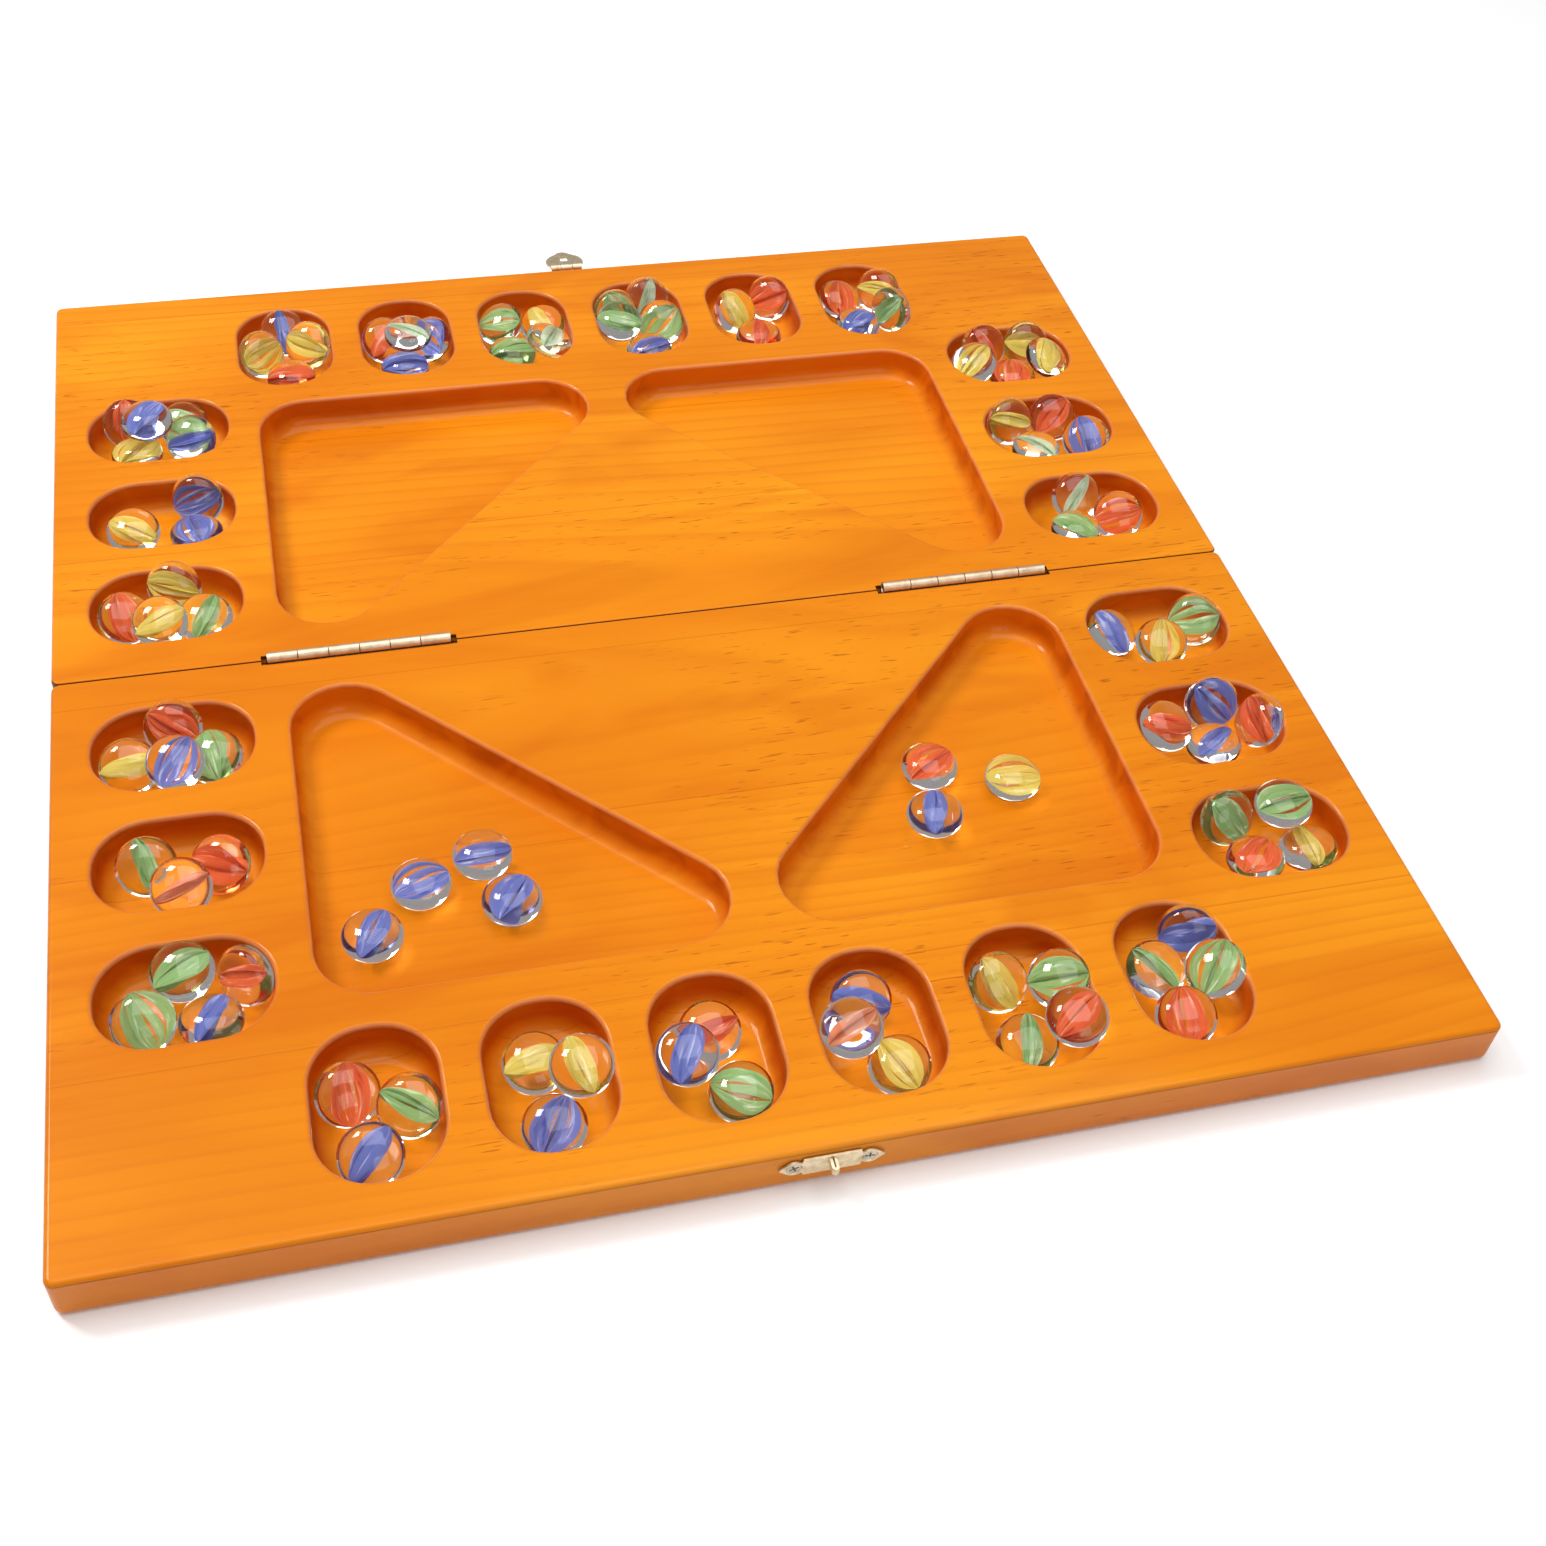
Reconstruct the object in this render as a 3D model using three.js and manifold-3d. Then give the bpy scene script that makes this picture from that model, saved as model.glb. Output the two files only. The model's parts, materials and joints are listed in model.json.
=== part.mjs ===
// A folding mancala board: two pine halves that close face to face on two butt hinges, a hasp that
// holds them shut, and glass stones. Millimetres, +Z up, the playing surface on top.
// The origin is on the table, at the middle of the open board's whole length and width.
import * as THREE from 'three';
import { mergeVertices } from 'three/addons/utils/BufferGeometryUtils.js';
import Module from 'manifold-3d';

const wasm = await Module();
wasm.setup();

// ---------------------------------------------------------------- driving dimensions

const BOARD_WIDTH = 380;
const HALF_DEPTH = 201.5;        // one half, from the seam to its outer edge
const BOARD_THICK = 15;
const BOARD_CORNER = 2.5;
const SEAM_GAP = 0.4;            // between the two halves when they lie open
const SEAM_Y = -5.1;             // the hasp reaches further out than the catch, so the seam is off centre

const PIT_WIDTH = 33;
const PIT_LENGTH = 46.5;
const PIT_CORNER = 15.5;
const HOLLOW_DEPTH = 11;         // pits and trays are cut to the same depth
const HOLLOW_FILLET = 5;         // the round where a wall meets the floor
const ROW_PITS = 6;
const ROW_PITCH = 44;
const ROW_INSET = 36;            // from the outer edge to the pits' centres
const COLUMN_PITS = 3;
const COLUMN_PITCH = 45.4;
const COLUMN_START = 31.2;       // from the seam to the first pit's centre
const COLUMN_INSET = 34.5;       // from the side edge to the pits' centres

const TRAY_CORNER = 16.2;        // radius round a tray's three corners
const TRAY_OUTER_X = 105.5;      // centres of those radii
const TRAY_INNER_X = 23.6;
const TRAY_OUTER_Y = 115.2;
const TRAY_SEAM_Y = 30.6;

const FOLD_RISE = 0.8;           // the hinge pins lie this far above the playing surface
const HINGE_X = 98.5;
const HINGE_LENGTH = 56.2;
const NOTCH_MARGIN = 1.8;        // the wood is cut back this far beyond each end of a barrel
const KNUCKLES = 6;
const KNUCKLE_GAP = 0.3;
const BARREL_R = 1.75;
const BARREL_BORE = 1.1;
const HINGE_PIN_R = 0.8;
const LEAF_THICK = 0.9;
const LEAF_TOP = -2.1;           // heights from the pin's axis
const LEAF_BOTTOM = -12.3;
const LEAF_SCREW_Z = -7.6;
const LEAF_SCREWS = 3;
const LEAF_SCREW_PITCH = 19;

const PLATE_THICK = 0.7;         // the catch and the hasp are stamped from the same sheet
const PLATE_BODY_X = 7.6;
const PLATE_BODY_Z = 3.35;
const PLATE_LOBE_X = 10;         // the screws' places
const PLATE_LOBE_R = 2.8;
const PLATE_NECK_Z = 2;          // half height where a lobe meets the body
const PLATE_TIP_X = 14.15;
const PLATE_Z = 9;               // height of both plates' middle line above the table
const TONGUE_WIDTH = 2.1;
const TONGUE_HEIGHT = 2.6;
const TONGUE_REACH = 3.8;
const TONGUE_Z = 10.1;
const TONGUE_FOLD = 0.3;         // the sheet is folded double, with this slit between its leaves

const HASP_AXIS_Z = 14.8;
const HASP_AXIS_OUT = 1.5;       // from the edge of the wood to the hasp pin's axis
const HASP_BARREL_R = 1.3;
const HASP_BORE = 0.8;
const HASP_PIN_R = 0.5;
const HASP_REST = THREE.MathUtils.degToRad(-98);   // from upright to lying just below level
const FLAP_RADIUS = 7.25;
const FLAP_CENTRE = 4.7;         // distances from the hasp pin's axis
const FLAP_BASE_X = 5.9;
const FLAP_TAB_X = 2.9;
const FLAP_TIP = 13.5;
const FLAP_SHOULDER_TRIM = 0.15;  // radians left off each shoulder's arc
const FLAP_TAB_START = 0.45;      // and off each end of the tab's, so the two blend
const FLAP_INNER = -0.25;        // the flap's face towards the catch, from the pin's axis
const SLOT_NEAR = 5.05;
const SLOT_FAR = 8.85;
const SLOT_HALF = 1.45;
const SLOT_CORNER = 0.35;
const CENTRE_KNUCKLE = 2.1;      // half the length of the plate's own knuckle

const SCREW_HEAD_R = 2;
const SCREW_SHANK_R = 0.9;
const SCREW_LENGTH = 9;
const SCREW_SINK = 0.15;         // the heads lie this far below the metal's face
const RECESS_LONG = 1.35;        // the cross recess in a head: half its length, half its width, its depth
const RECESS_WIDE = 0.28;
const RECESS_DEEP = 0.9;

const STONE_R = 8.5;
const STONE_HALF_HEIGHT = 5.2;

const GAP = 0.3;                 // running and seating clearance between neighbours
const LAY = 0.2;                 // between a surface plate, or a stone, and the wood
const SINK = 1;                  // how far a cutter passes the face that it opens

// ---------------------------------------------------------------- materials

const finish = (color, roughness, metalness) =>
  new THREE.MeshStandardMaterial({ color, roughness, metalness });

const pine = finish(0xe8912a, 0.35, 0);
const brass = finish(0xd9cda2, 0.32, 1);
const steel = finish(0xb9b3a0, 0.4, 1);
const glass = {
  blue: finish(0x4a63d6, 0.05, 0),
  red: finish(0xd4402a, 0.05, 0),
  yellow: finish(0xd8b52a, 0.05, 0),
};

// ---------------------------------------------------------------- solids

function toSolid(geometry) {
  const bare = geometry.clone();
  bare.deleteAttribute('normal');
  bare.deleteAttribute('uv');
  const merged = mergeVertices(bare, 1e-5);
  const vertProperties = new Float32Array(merged.attributes.position.array);
  const triVerts = new Uint32Array(merged.index.array);
  return new wasm.Manifold(new wasm.Mesh({ numProp: 3, vertProperties, triVerts }));
}

function toGeometry(solid) {
  const mesh = solid.getMesh();
  const geometry = new THREE.BufferGeometry();
  geometry.setAttribute('position', new THREE.BufferAttribute(mesh.vertProperties, 3));
  geometry.setIndex(new THREE.BufferAttribute(mesh.triVerts, 1));
  geometry.computeVertexNormals();
  return geometry;
}

const join = (first, ...rest) => rest.reduce((sum, part) => sum.add(part), first);
const cut = (first, ...rest) => rest.reduce((left, part) => left.subtract(part), first);

function block(x0, x1, y0, y1, z0, z1) {
  const geometry = new THREE.BoxGeometry(Math.abs(x1 - x0), Math.abs(y1 - y0), Math.abs(z1 - z0));
  return toSolid(geometry.translate((x0 + x1) / 2, (y0 + y1) / 2, (z0 + z1) / 2));
}

// A round bar along X.
function barGeometry(radius, length, sides = 16) {
  return new THREE.CylinderGeometry(radius, radius, length, sides).rotateZ(Math.PI / 2);
}

const bar = (radius, x0, x1, sides) =>
  toSolid(barGeometry(radius, x1 - x0, sides).translate((x0 + x1) / 2, 0, 0));

// The outline that keeps a distance of radius round a convex polygon, given anticlockwise.
function roundedLoop(corners, radius, arcStep) {
  const points = [];
  corners.forEach((corner, i) => {
    const before = corners[(i + corners.length - 1) % corners.length];
    const after = corners[(i + 1) % corners.length];
    const start = Math.atan2(corner.y - before.y, corner.x - before.x) - Math.PI / 2;
    let turn = Math.atan2(after.y - corner.y, after.x - corner.x) - Math.PI / 2 - start;
    turn = (turn + 4 * Math.PI) % (2 * Math.PI);
    const steps = Math.max(1, Math.round(turn / arcStep));
    for (let k = 0; k <= steps; k++) {
      const angle = start + (turn * k) / steps;
      points.push(new THREE.Vector2(
        corner.x + radius * Math.cos(angle),
        corner.y + radius * Math.sin(angle),
      ));
    }
  });
  return points;
}

// A closed solid through a stack of convex loops with equal numbers of points, from the bottom up.
function stackedLoops(loops, heights) {
  const count = loops[0].length;
  const positions = loops.flatMap((loop, i) => loop.flatMap((p) => [p.x, p.y, heights[i]]));
  const index = [];
  for (let ring = 0; ring + 1 < loops.length; ring++) {
    for (let k = 0; k < count; k++) {
      const a = ring * count + k;
      const b = ring * count + ((k + 1) % count);
      index.push(a, b, b + count, a, b + count, a + count);
    }
  }
  const top = (loops.length - 1) * count;
  for (let k = 1; k + 1 < count; k++) {
    index.push(0, k + 1, k, top, top + k, top + k + 1);
  }
  const geometry = new THREE.BufferGeometry();
  geometry.setAttribute('position', new THREE.Float32BufferAttribute(positions, 3));
  geometry.setIndex(index);
  return geometry;
}

// ---------------------------------------------------------------- the two halves

// Four corners of a rectangle round (x, y), anticlockwise.
function rectangle(x, y, halfX, halfY) {
  return [[1, 1], [-1, 1], [-1, -1], [1, -1]].map(
    ([i, j]) => new THREE.Vector2(x + i * halfX, y + j * halfY),
  );
}

// The cutter for a pit or a tray: straight walls, then a round into a flat floor.
function hollow(corners, radius) {
  const floor = BOARD_THICK - HOLLOW_DEPTH;
  const arcStep = Math.PI / 8;
  const loops = [];
  const heights = [];
  for (const angle of [Math.PI / 2, Math.PI / 4, 0]) {
    const inset = HOLLOW_FILLET * (1 - Math.cos(angle));
    loops.push(roundedLoop(corners, radius - inset, arcStep));
    heights.push(floor + HOLLOW_FILLET * (1 - Math.sin(angle)));
  }
  loops.push(roundedLoop(corners, radius, arcStep));
  heights.push(BOARD_THICK + SINK);
  return toSolid(stackedLoops(loops, heights));
}

function pit(x, y, alongX) {
  const halfWide = PIT_WIDTH / 2 - PIT_CORNER;
  const halfLong = PIT_LENGTH / 2 - PIT_CORNER;
  const [halfX, halfY] = alongX ? [halfLong, halfWide] : [halfWide, halfLong];
  return hollow(rectangle(x, y, halfX, halfY), PIT_CORNER);
}

// The half board that lies on the side of the seam given by side: -1 is near, +1 is far.
function pitCentres(side) {
  const centres = [];
  for (let i = 0; i < ROW_PITS; i++) {
    const x = (i - (ROW_PITS - 1) / 2) * ROW_PITCH;
    centres.push({ x, y: side * (HALF_DEPTH + SEAM_GAP / 2 - ROW_INSET), alongX: false });
  }
  for (const sideX of [-1, 1]) {
    for (let i = 0; i < COLUMN_PITS; i++) {
      const x = sideX * (BOARD_WIDTH / 2 - COLUMN_INSET);
      centres.push({ x, y: side * (COLUMN_START + i * COLUMN_PITCH), alongX: true });
    }
  }
  return centres;
}

// A right-angled tray whose long side faces the middle of the whole board.
function tray(sideX, sideY) {
  const corners = [
    new THREE.Vector2(sideX * TRAY_OUTER_X, sideY * TRAY_OUTER_Y),
    new THREE.Vector2(sideX * TRAY_INNER_X, sideY * TRAY_OUTER_Y),
    new THREE.Vector2(sideX * TRAY_OUTER_X, sideY * TRAY_SEAM_Y),
  ];
  if (sideX * sideY < 0) corners.reverse();
  return hollow(corners, TRAY_CORNER);
}

// Room for a hinge in the edge of one half: a notch for the barrel and a mortise for the leaf.
function hingeRoom(x, side) {
  const axisZ = BOARD_THICK + FOLD_RISE;
  const notchEnd = HINGE_LENGTH / 2 + NOTCH_MARGIN;
  const leafEnd = HINGE_LENGTH / 2 + GAP;
  const leafBack = SEAM_GAP / 2 + LEAF_THICK + GAP;
  const barrelBack = BARREL_R + GAP;
  const notchFloor = axisZ - BARREL_R - GAP;
  return join(
    block(x - notchEnd, x + notchEnd, -side, side * barrelBack, notchFloor, BOARD_THICK + SINK),
    block(x - leafEnd, x + leafEnd, -side, side * leafBack, axisZ + LEAF_BOTTOM - GAP, notchFloor + GAP),
  );
}

function boardHalf(side) {
  const near = side * SEAM_GAP / 2;
  const far = side * (SEAM_GAP / 2 + HALF_DEPTH);
  const halfX = BOARD_WIDTH / 2 - BOARD_CORNER;
  const halfY = HALF_DEPTH / 2 - BOARD_CORNER;
  const outline = roundedLoop(rectangle(0, (near + far) / 2, halfX, halfY), BOARD_CORNER, Math.PI / 6);
  const blank = toSolid(stackedLoops([outline, outline], [0, BOARD_THICK]));
  const cutters = [
    ...pitCentres(side).map(({ x, y, alongX }) => pit(x, y, alongX)),
    tray(-1, side),
    tray(1, side),
    hingeRoom(-HINGE_X, side),
    hingeRoom(HINGE_X, side),
    ...screwPlaces(side).map(screwHole),
  ];
  return toGeometry(cut(blank, ...cutters));
}

// ---------------------------------------------------------------- screws

// A countersunk screw's outline turned about Y, its head's face at y = 0. With a gap it is the hole.
function screwBody(gap = 0) {
  const coneLength = SCREW_HEAD_R - SCREW_SHANK_R;
  const head = gap ? SINK : 0;
  const profile = [
    [0, -SCREW_LENGTH - gap],
    [SCREW_SHANK_R + gap, -SCREW_LENGTH + 2 * SCREW_SHANK_R],
    [SCREW_SHANK_R + gap, -coneLength - gap],
    [SCREW_HEAD_R + gap, -gap],
    [SCREW_HEAD_R + gap, head],
    [0, head],
  ];
  return toSolid(new THREE.LatheGeometry(profile.map(([r, y]) => new THREE.Vector2(r, y)), 12));
}

function screw() {
  const slot = [
    block(-RECESS_LONG, RECESS_LONG, -RECESS_DEEP, SINK, -RECESS_WIDE, RECESS_WIDE),
    block(-RECESS_WIDE, RECESS_WIDE, -RECESS_DEEP, SINK, -RECESS_LONG, RECESS_LONG),
  ];
  return toGeometry(cut(screwBody(), ...slot));
}

// Where one half's screws are: the leaves' on its seam edge, the latch's on its outer edge.
function screwPlaces(side) {
  const places = [];
  const hinge = (x, name) => {
    for (let i = 0; i < LEAF_SCREWS; i++) {
      places.push({
        name: `${name}_screw_${i + 1}`,
        x: x + (i - (LEAF_SCREWS - 1) / 2) * LEAF_SCREW_PITCH,
        y: side * (SEAM_GAP / 2 + SCREW_SINK),
        z: BOARD_THICK + FOLD_RISE + LEAF_SCREW_Z,
        faces: -side,
      });
    }
  };
  const half = side < 0 ? 'near' : 'far';
  hinge(-HINGE_X, `left_hinge_${half}_leaf`);
  hinge(HINGE_X, `right_hinge_${half}_leaf`);
  const plateFace = HALF_DEPTH + SEAM_GAP / 2 + LAY + PLATE_THICK;
  for (const [end, sideX] of [['left', -1], ['right', 1]]) {
    places.push({
      name: `${side < 0 ? 'catch' : 'hasp'}_screw_${end}`,
      x: sideX * PLATE_LOBE_X,
      y: side * (plateFace - SCREW_SINK),
      z: PLATE_Z,
      faces: side,
    });
  }
  return places;
}

function screwHole({ x, y, z, faces }) {
  return screwBody(GAP).rotate([faces < 0 ? 180 : 0, 0, 0]).translate(x, y, z);
}

// ---------------------------------------------------------------- hinges

// One leaf, round the pin's axis as its own X axis. The near leaf has the first knuckle.
function hingeLeaf(side, hingeX) {
  const inner = side * SEAM_GAP / 2;
  const outer = side * (SEAM_GAP / 2 + LEAF_THICK);
  const half = HINGE_LENGTH / 2;
  const pitch = HINGE_LENGTH / KNUCKLES;
  const parts = [];
  for (let i = side < 0 ? 0 : 1; i < KNUCKLES; i += 2) {
    const x0 = -half + i * pitch + KNUCKLE_GAP / 2;
    const x1 = -half + (i + 1) * pitch - KNUCKLE_GAP / 2;
    parts.push(bar(BARREL_R, x0, x1));
    parts.push(block(x0, x1, inner, outer, LEAF_TOP - SINK, -FOLD_RISE));
  }
  const plate = block(-half, half, inner, outer, LEAF_BOTTOM, LEAF_TOP);
  const axisZ = BOARD_THICK + FOLD_RISE;
  const holes = screwPlaces(side)
    .filter(({ name, x }) => name.includes('leaf') && Math.abs(x - hingeX) < half)
    .map((place) => screwHole(place).translate(-hingeX, 0, -axisZ));
  return toGeometry(cut(join(plate, ...parts), bar(BARREL_BORE, -half - SINK, half + SINK), ...holes));
}

// ---------------------------------------------------------------- catch and hasp

// The stamped plate's outline in X and Z: a straight body, a round lobe at each screw, and points.
function plateShape() {
  const tangent = Math.acos(PLATE_LOBE_R / (PLATE_TIP_X - PLATE_LOBE_X));
  const neck = Math.PI - Math.asin(PLATE_NECK_Z / PLATE_LOBE_R);
  const shape = new THREE.Shape();
  shape.moveTo(-PLATE_BODY_X, -PLATE_BODY_Z);
  shape.lineTo(PLATE_BODY_X, -PLATE_BODY_Z);
  shape.absarc(PLATE_LOBE_X, 0, PLATE_LOBE_R, -neck, -tangent, false);
  shape.lineTo(PLATE_TIP_X, 0);
  shape.absarc(PLATE_LOBE_X, 0, PLATE_LOBE_R, tangent, neck, false);
  shape.lineTo(PLATE_BODY_X, PLATE_BODY_Z);
  shape.lineTo(-PLATE_BODY_X, PLATE_BODY_Z);
  shape.absarc(-PLATE_LOBE_X, 0, PLATE_LOBE_R, Math.PI - neck, Math.PI - tangent, false);
  shape.lineTo(-PLATE_TIP_X, 0);
  shape.absarc(-PLATE_LOBE_X, 0, PLATE_LOBE_R, Math.PI + tangent, Math.PI + neck, false);
  shape.closePath();
  return shape;
}

// The plate against the outer edge of one half, with its screw holes. Y is from the seam.
function edgePlate(side) {
  const geometry = new THREE.ExtrudeGeometry(plateShape(), {
    depth: PLATE_THICK,
    bevelEnabled: false,
    curveSegments: 5,
  });
  const y = side * (HALF_DEPTH + SEAM_GAP / 2 + LAY);
  geometry.rotateX(Math.PI / 2).translate(0, side < 0 ? y : y + PLATE_THICK, PLATE_Z);
  const holes = screwPlaces(side)
    .filter(({ name }) => !name.includes('leaf'))
    .map(screwHole);
  return cut(toSolid(geometry), ...holes);
}

function catchPlate() {
  const root = -(HALF_DEPTH + SEAM_GAP / 2 + LAY);
  const tip = root - PLATE_THICK - TONGUE_REACH;
  const low = TONGUE_Z - TONGUE_HEIGHT / 2;
  const high = TONGUE_Z + TONGUE_HEIGHT / 2;
  const tongue = block(-TONGUE_WIDTH / 2, TONGUE_WIDTH / 2, tip, root, low, high);
  const slit = block(
    -TONGUE_FOLD / 2, TONGUE_FOLD / 2, tip + TONGUE_WIDTH / 2, root - PLATE_THICK, low - SINK, high + SINK,
  );
  return toGeometry(cut(edgePlate(-1).add(tongue), slit));
}

const haspAxisY = HALF_DEPTH + SEAM_GAP / 2 + HASP_AXIS_OUT;

function haspPlate() {
  const root = HALF_DEPTH + SEAM_GAP / 2 + LAY;
  const neck = block(
    -CENTRE_KNUCKLE, CENTRE_KNUCKLE, root, root + PLATE_THICK, PLATE_Z, HASP_AXIS_Z,
  );
  const knuckle = toSolid(
    barGeometry(HASP_BARREL_R, 2 * CENTRE_KNUCKLE, 14).translate(0, haspAxisY, HASP_AXIS_Z),
  );
  const bore = toSolid(
    barGeometry(HASP_BORE, 4 * CENTRE_KNUCKLE, 14).translate(0, haspAxisY, HASP_AXIS_Z),
  );
  return toGeometry(cut(join(edgePlate(1), neck, knuckle), bore));
}

// The flap's outline, upright: X across, Y along it from the pin's axis.
function flapShape() {
  const rise = FLAP_CENTRE - Math.sqrt(FLAP_RADIUS ** 2 - FLAP_BASE_X ** 2);
  const start = Math.atan2(rise - FLAP_CENTRE, FLAP_BASE_X);
  const shoulder = Math.acos(FLAP_TAB_X / FLAP_RADIUS);
  const tabCentre = FLAP_TIP - FLAP_TAB_X;
  const shape = new THREE.Shape();
  shape.moveTo(-FLAP_BASE_X, 0);
  shape.lineTo(FLAP_BASE_X, 0);
  shape.absarc(0, FLAP_CENTRE, FLAP_RADIUS, start, shoulder - FLAP_SHOULDER_TRIM, false);
  shape.absarc(0, tabCentre, FLAP_TAB_X, FLAP_TAB_START, Math.PI - FLAP_TAB_START, false);
  shape.absarc(
    0, FLAP_CENTRE, FLAP_RADIUS, Math.PI - shoulder + FLAP_SHOULDER_TRIM, Math.PI - start, false,
  );
  shape.closePath();
  const slotMiddle = (SLOT_NEAR + SLOT_FAR) / 2;
  const halfLong = (SLOT_FAR - SLOT_NEAR) / 2 - SLOT_CORNER;
  const slotCorners = rectangle(0, slotMiddle, SLOT_HALF - SLOT_CORNER, halfLong);
  shape.holes.push(new THREE.Path(roundedLoop(slotCorners, SLOT_CORNER, Math.PI / 4)));
  return shape;
}

// The flap round its own pin's axis, upright, with its outer face towards +Y.
function haspFlap() {
  const sheet = new THREE.ExtrudeGeometry(flapShape(), {
    depth: PLATE_THICK,
    bevelEnabled: false,
    curveSegments: 10,
  });
  sheet.rotateX(Math.PI / 2).translate(0, FLAP_INNER + PLATE_THICK, 0);
  const room = CENTRE_KNUCKLE + GAP;
  const knuckles = [-1, 1].map((s) => bar(
    HASP_BARREL_R, Math.min(s * room, s * FLAP_BASE_X), Math.max(s * room, s * FLAP_BASE_X), 14,
  ));
  const clear = HASP_BARREL_R + GAP;
  return toGeometry(cut(
    join(toSolid(sheet), ...knuckles),
    block(-room, room, -2 * clear, 2 * clear, -2 * clear, clear),
    bar(HASP_BORE, -2 * FLAP_BASE_X, 2 * FLAP_BASE_X, 14),
  ));
}

// ---------------------------------------------------------------- glass stones

// A ball pressed flat: an ellipse turned about its short axis.
function stoneGeometry() {
  const steps = 8;
  const profile = [];
  for (let i = 0; i <= steps; i++) {
    const angle = -Math.PI / 2 + (Math.PI * i) / steps;
    const r = i % steps === 0 ? 0 : STONE_R * Math.cos(angle);
    profile.push(new THREE.Vector2(r, STONE_HALF_HEIGHT * Math.sin(angle)));
  }
  return new THREE.LatheGeometry(profile, 16).rotateX(Math.PI / 2);
}

// The stones that lie loose in the near half's two trays. Y is from the seam.
const trayStones = [
  ['stone_left_1', 'blue', -105.8, -108.4],
  ['stone_left_2', 'blue', -90.8, -92.6],
  ['stone_left_3', 'blue', -72.5, -84.9],
  ['stone_left_4', 'blue', -66.6, -102.8],
  ['stone_right_1', 'red', 64.8, -74.5],
  ['stone_right_2', 'blue', 60.7, -93.6],
  ['stone_right_3', 'yellow', 88.5, -83.7],
];

// ---------------------------------------------------------------- the assembly

const mancala = new THREE.Group();
mancala.position.y = SEAM_Y;

function place(name, geometry, material, x = 0, y = 0, z = 0, parent = mancala) {
  const mesh = new THREE.Mesh(geometry, material);
  mesh.name = name;
  mesh.position.set(x, y, z);
  parent.add(mesh);
  return mesh;
}

place('board_near', boardHalf(-1), pine);
place('board_far', boardHalf(1), pine);

const foldZ = BOARD_THICK + FOLD_RISE;
for (const [end, x] of [['left', -HINGE_X], ['right', HINGE_X]]) {
  place(`${end}_hinge_near_leaf`, hingeLeaf(-1, x), brass, x, 0, foldZ);
  place(`${end}_hinge_far_leaf`, hingeLeaf(1, x), brass, x, 0, foldZ);
  place(`${end}_hinge_pin`, barGeometry(HINGE_PIN_R, HINGE_LENGTH - GAP, 12), steel, x, 0, foldZ);
}

place('catch_plate', catchPlate(), brass);
place('hasp_plate', haspPlate(), brass);
place('hasp_pin', barGeometry(HASP_PIN_R, 2 * FLAP_BASE_X - GAP, 10), steel, 0, haspAxisY, HASP_AXIS_Z);
const flap = place('hasp_flap', haspFlap(), brass, 0, haspAxisY, HASP_AXIS_Z);
flap.rotation.x = HASP_REST;

for (const side of [-1, 1]) {
  for (const at of screwPlaces(side)) {
    const mesh = place(at.name, screw(), steel, at.x, at.y, at.z);
    mesh.rotation.x = at.faces < 0 ? Math.PI : 0;
  }
}

const stoneZ = BOARD_THICK - HOLLOW_DEPTH + LAY + STONE_HALF_HEIGHT;
for (const [name, colour, x, y] of trayStones) {
  place(name, stoneGeometry(), glass[colour], x, y, stoneZ);
}

export default mancala;
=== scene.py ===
import json
import math

import bmesh
import bpy
from mathutils import Matrix, Quaternion, Vector
from mathutils.bvhtree import BVHTree


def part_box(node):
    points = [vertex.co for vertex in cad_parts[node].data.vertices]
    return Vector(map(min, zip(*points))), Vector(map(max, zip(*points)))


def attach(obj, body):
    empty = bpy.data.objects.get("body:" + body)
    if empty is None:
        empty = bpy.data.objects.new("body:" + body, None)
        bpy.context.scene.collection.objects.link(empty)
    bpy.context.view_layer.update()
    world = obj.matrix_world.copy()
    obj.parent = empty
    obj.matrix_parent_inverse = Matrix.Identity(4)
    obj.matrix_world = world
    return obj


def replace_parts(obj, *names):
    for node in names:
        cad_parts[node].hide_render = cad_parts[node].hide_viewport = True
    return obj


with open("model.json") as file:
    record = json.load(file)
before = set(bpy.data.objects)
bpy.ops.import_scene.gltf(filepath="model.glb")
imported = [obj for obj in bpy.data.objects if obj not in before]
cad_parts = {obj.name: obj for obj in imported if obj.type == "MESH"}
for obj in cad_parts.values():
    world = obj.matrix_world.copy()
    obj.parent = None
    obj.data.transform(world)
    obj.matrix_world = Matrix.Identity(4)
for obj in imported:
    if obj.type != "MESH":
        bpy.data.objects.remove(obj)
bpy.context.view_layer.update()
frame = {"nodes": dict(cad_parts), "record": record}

MM = 0.001
scene = bpy.context.scene

# ---- sizes, as in the CAD model

BOARD_CORNER = 2.5
TOP_EASE = 1.3          # the round on the top's outer edges
SEAM_EASE = 0.5
BOTTOM_EASE = 2.2
SUPPORT = 0.25          # a narrow flat ring beside each round, so that it shades cleanly

PIT_CORNER = 15.5
PIT_WIDTH = 33
PIT_LENGTH = 46.5
HOLLOW_DEPTH = 11
HOLLOW_FILLET = 5
RIM_EASE = 1.2

TRAY_CORNER = 16.2
TRAY_OUTER_X = 105.5
TRAY_INNER_X = 23.6
TRAY_OUTER_Y = 115.2
TRAY_SEAM_Y = 30.6

HINGE_LENGTH = 56.2
NOTCH_MARGIN = 1.8
NOTCH_DEEP = 1.85       # into the wood from the seam edge
NOTCH_LOW = 2.05        # below the pins' axis
MORTISE_DEEP = 1.2
MORTISE_FLOOR = 12.6    # below the pins' axis
MORTISE_MARGIN = 0.3
NOTCH_LEVELS = (0, 0, 0.3, 0.6, 0.9)    # below the top, to match the levels of a rounded edge

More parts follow.
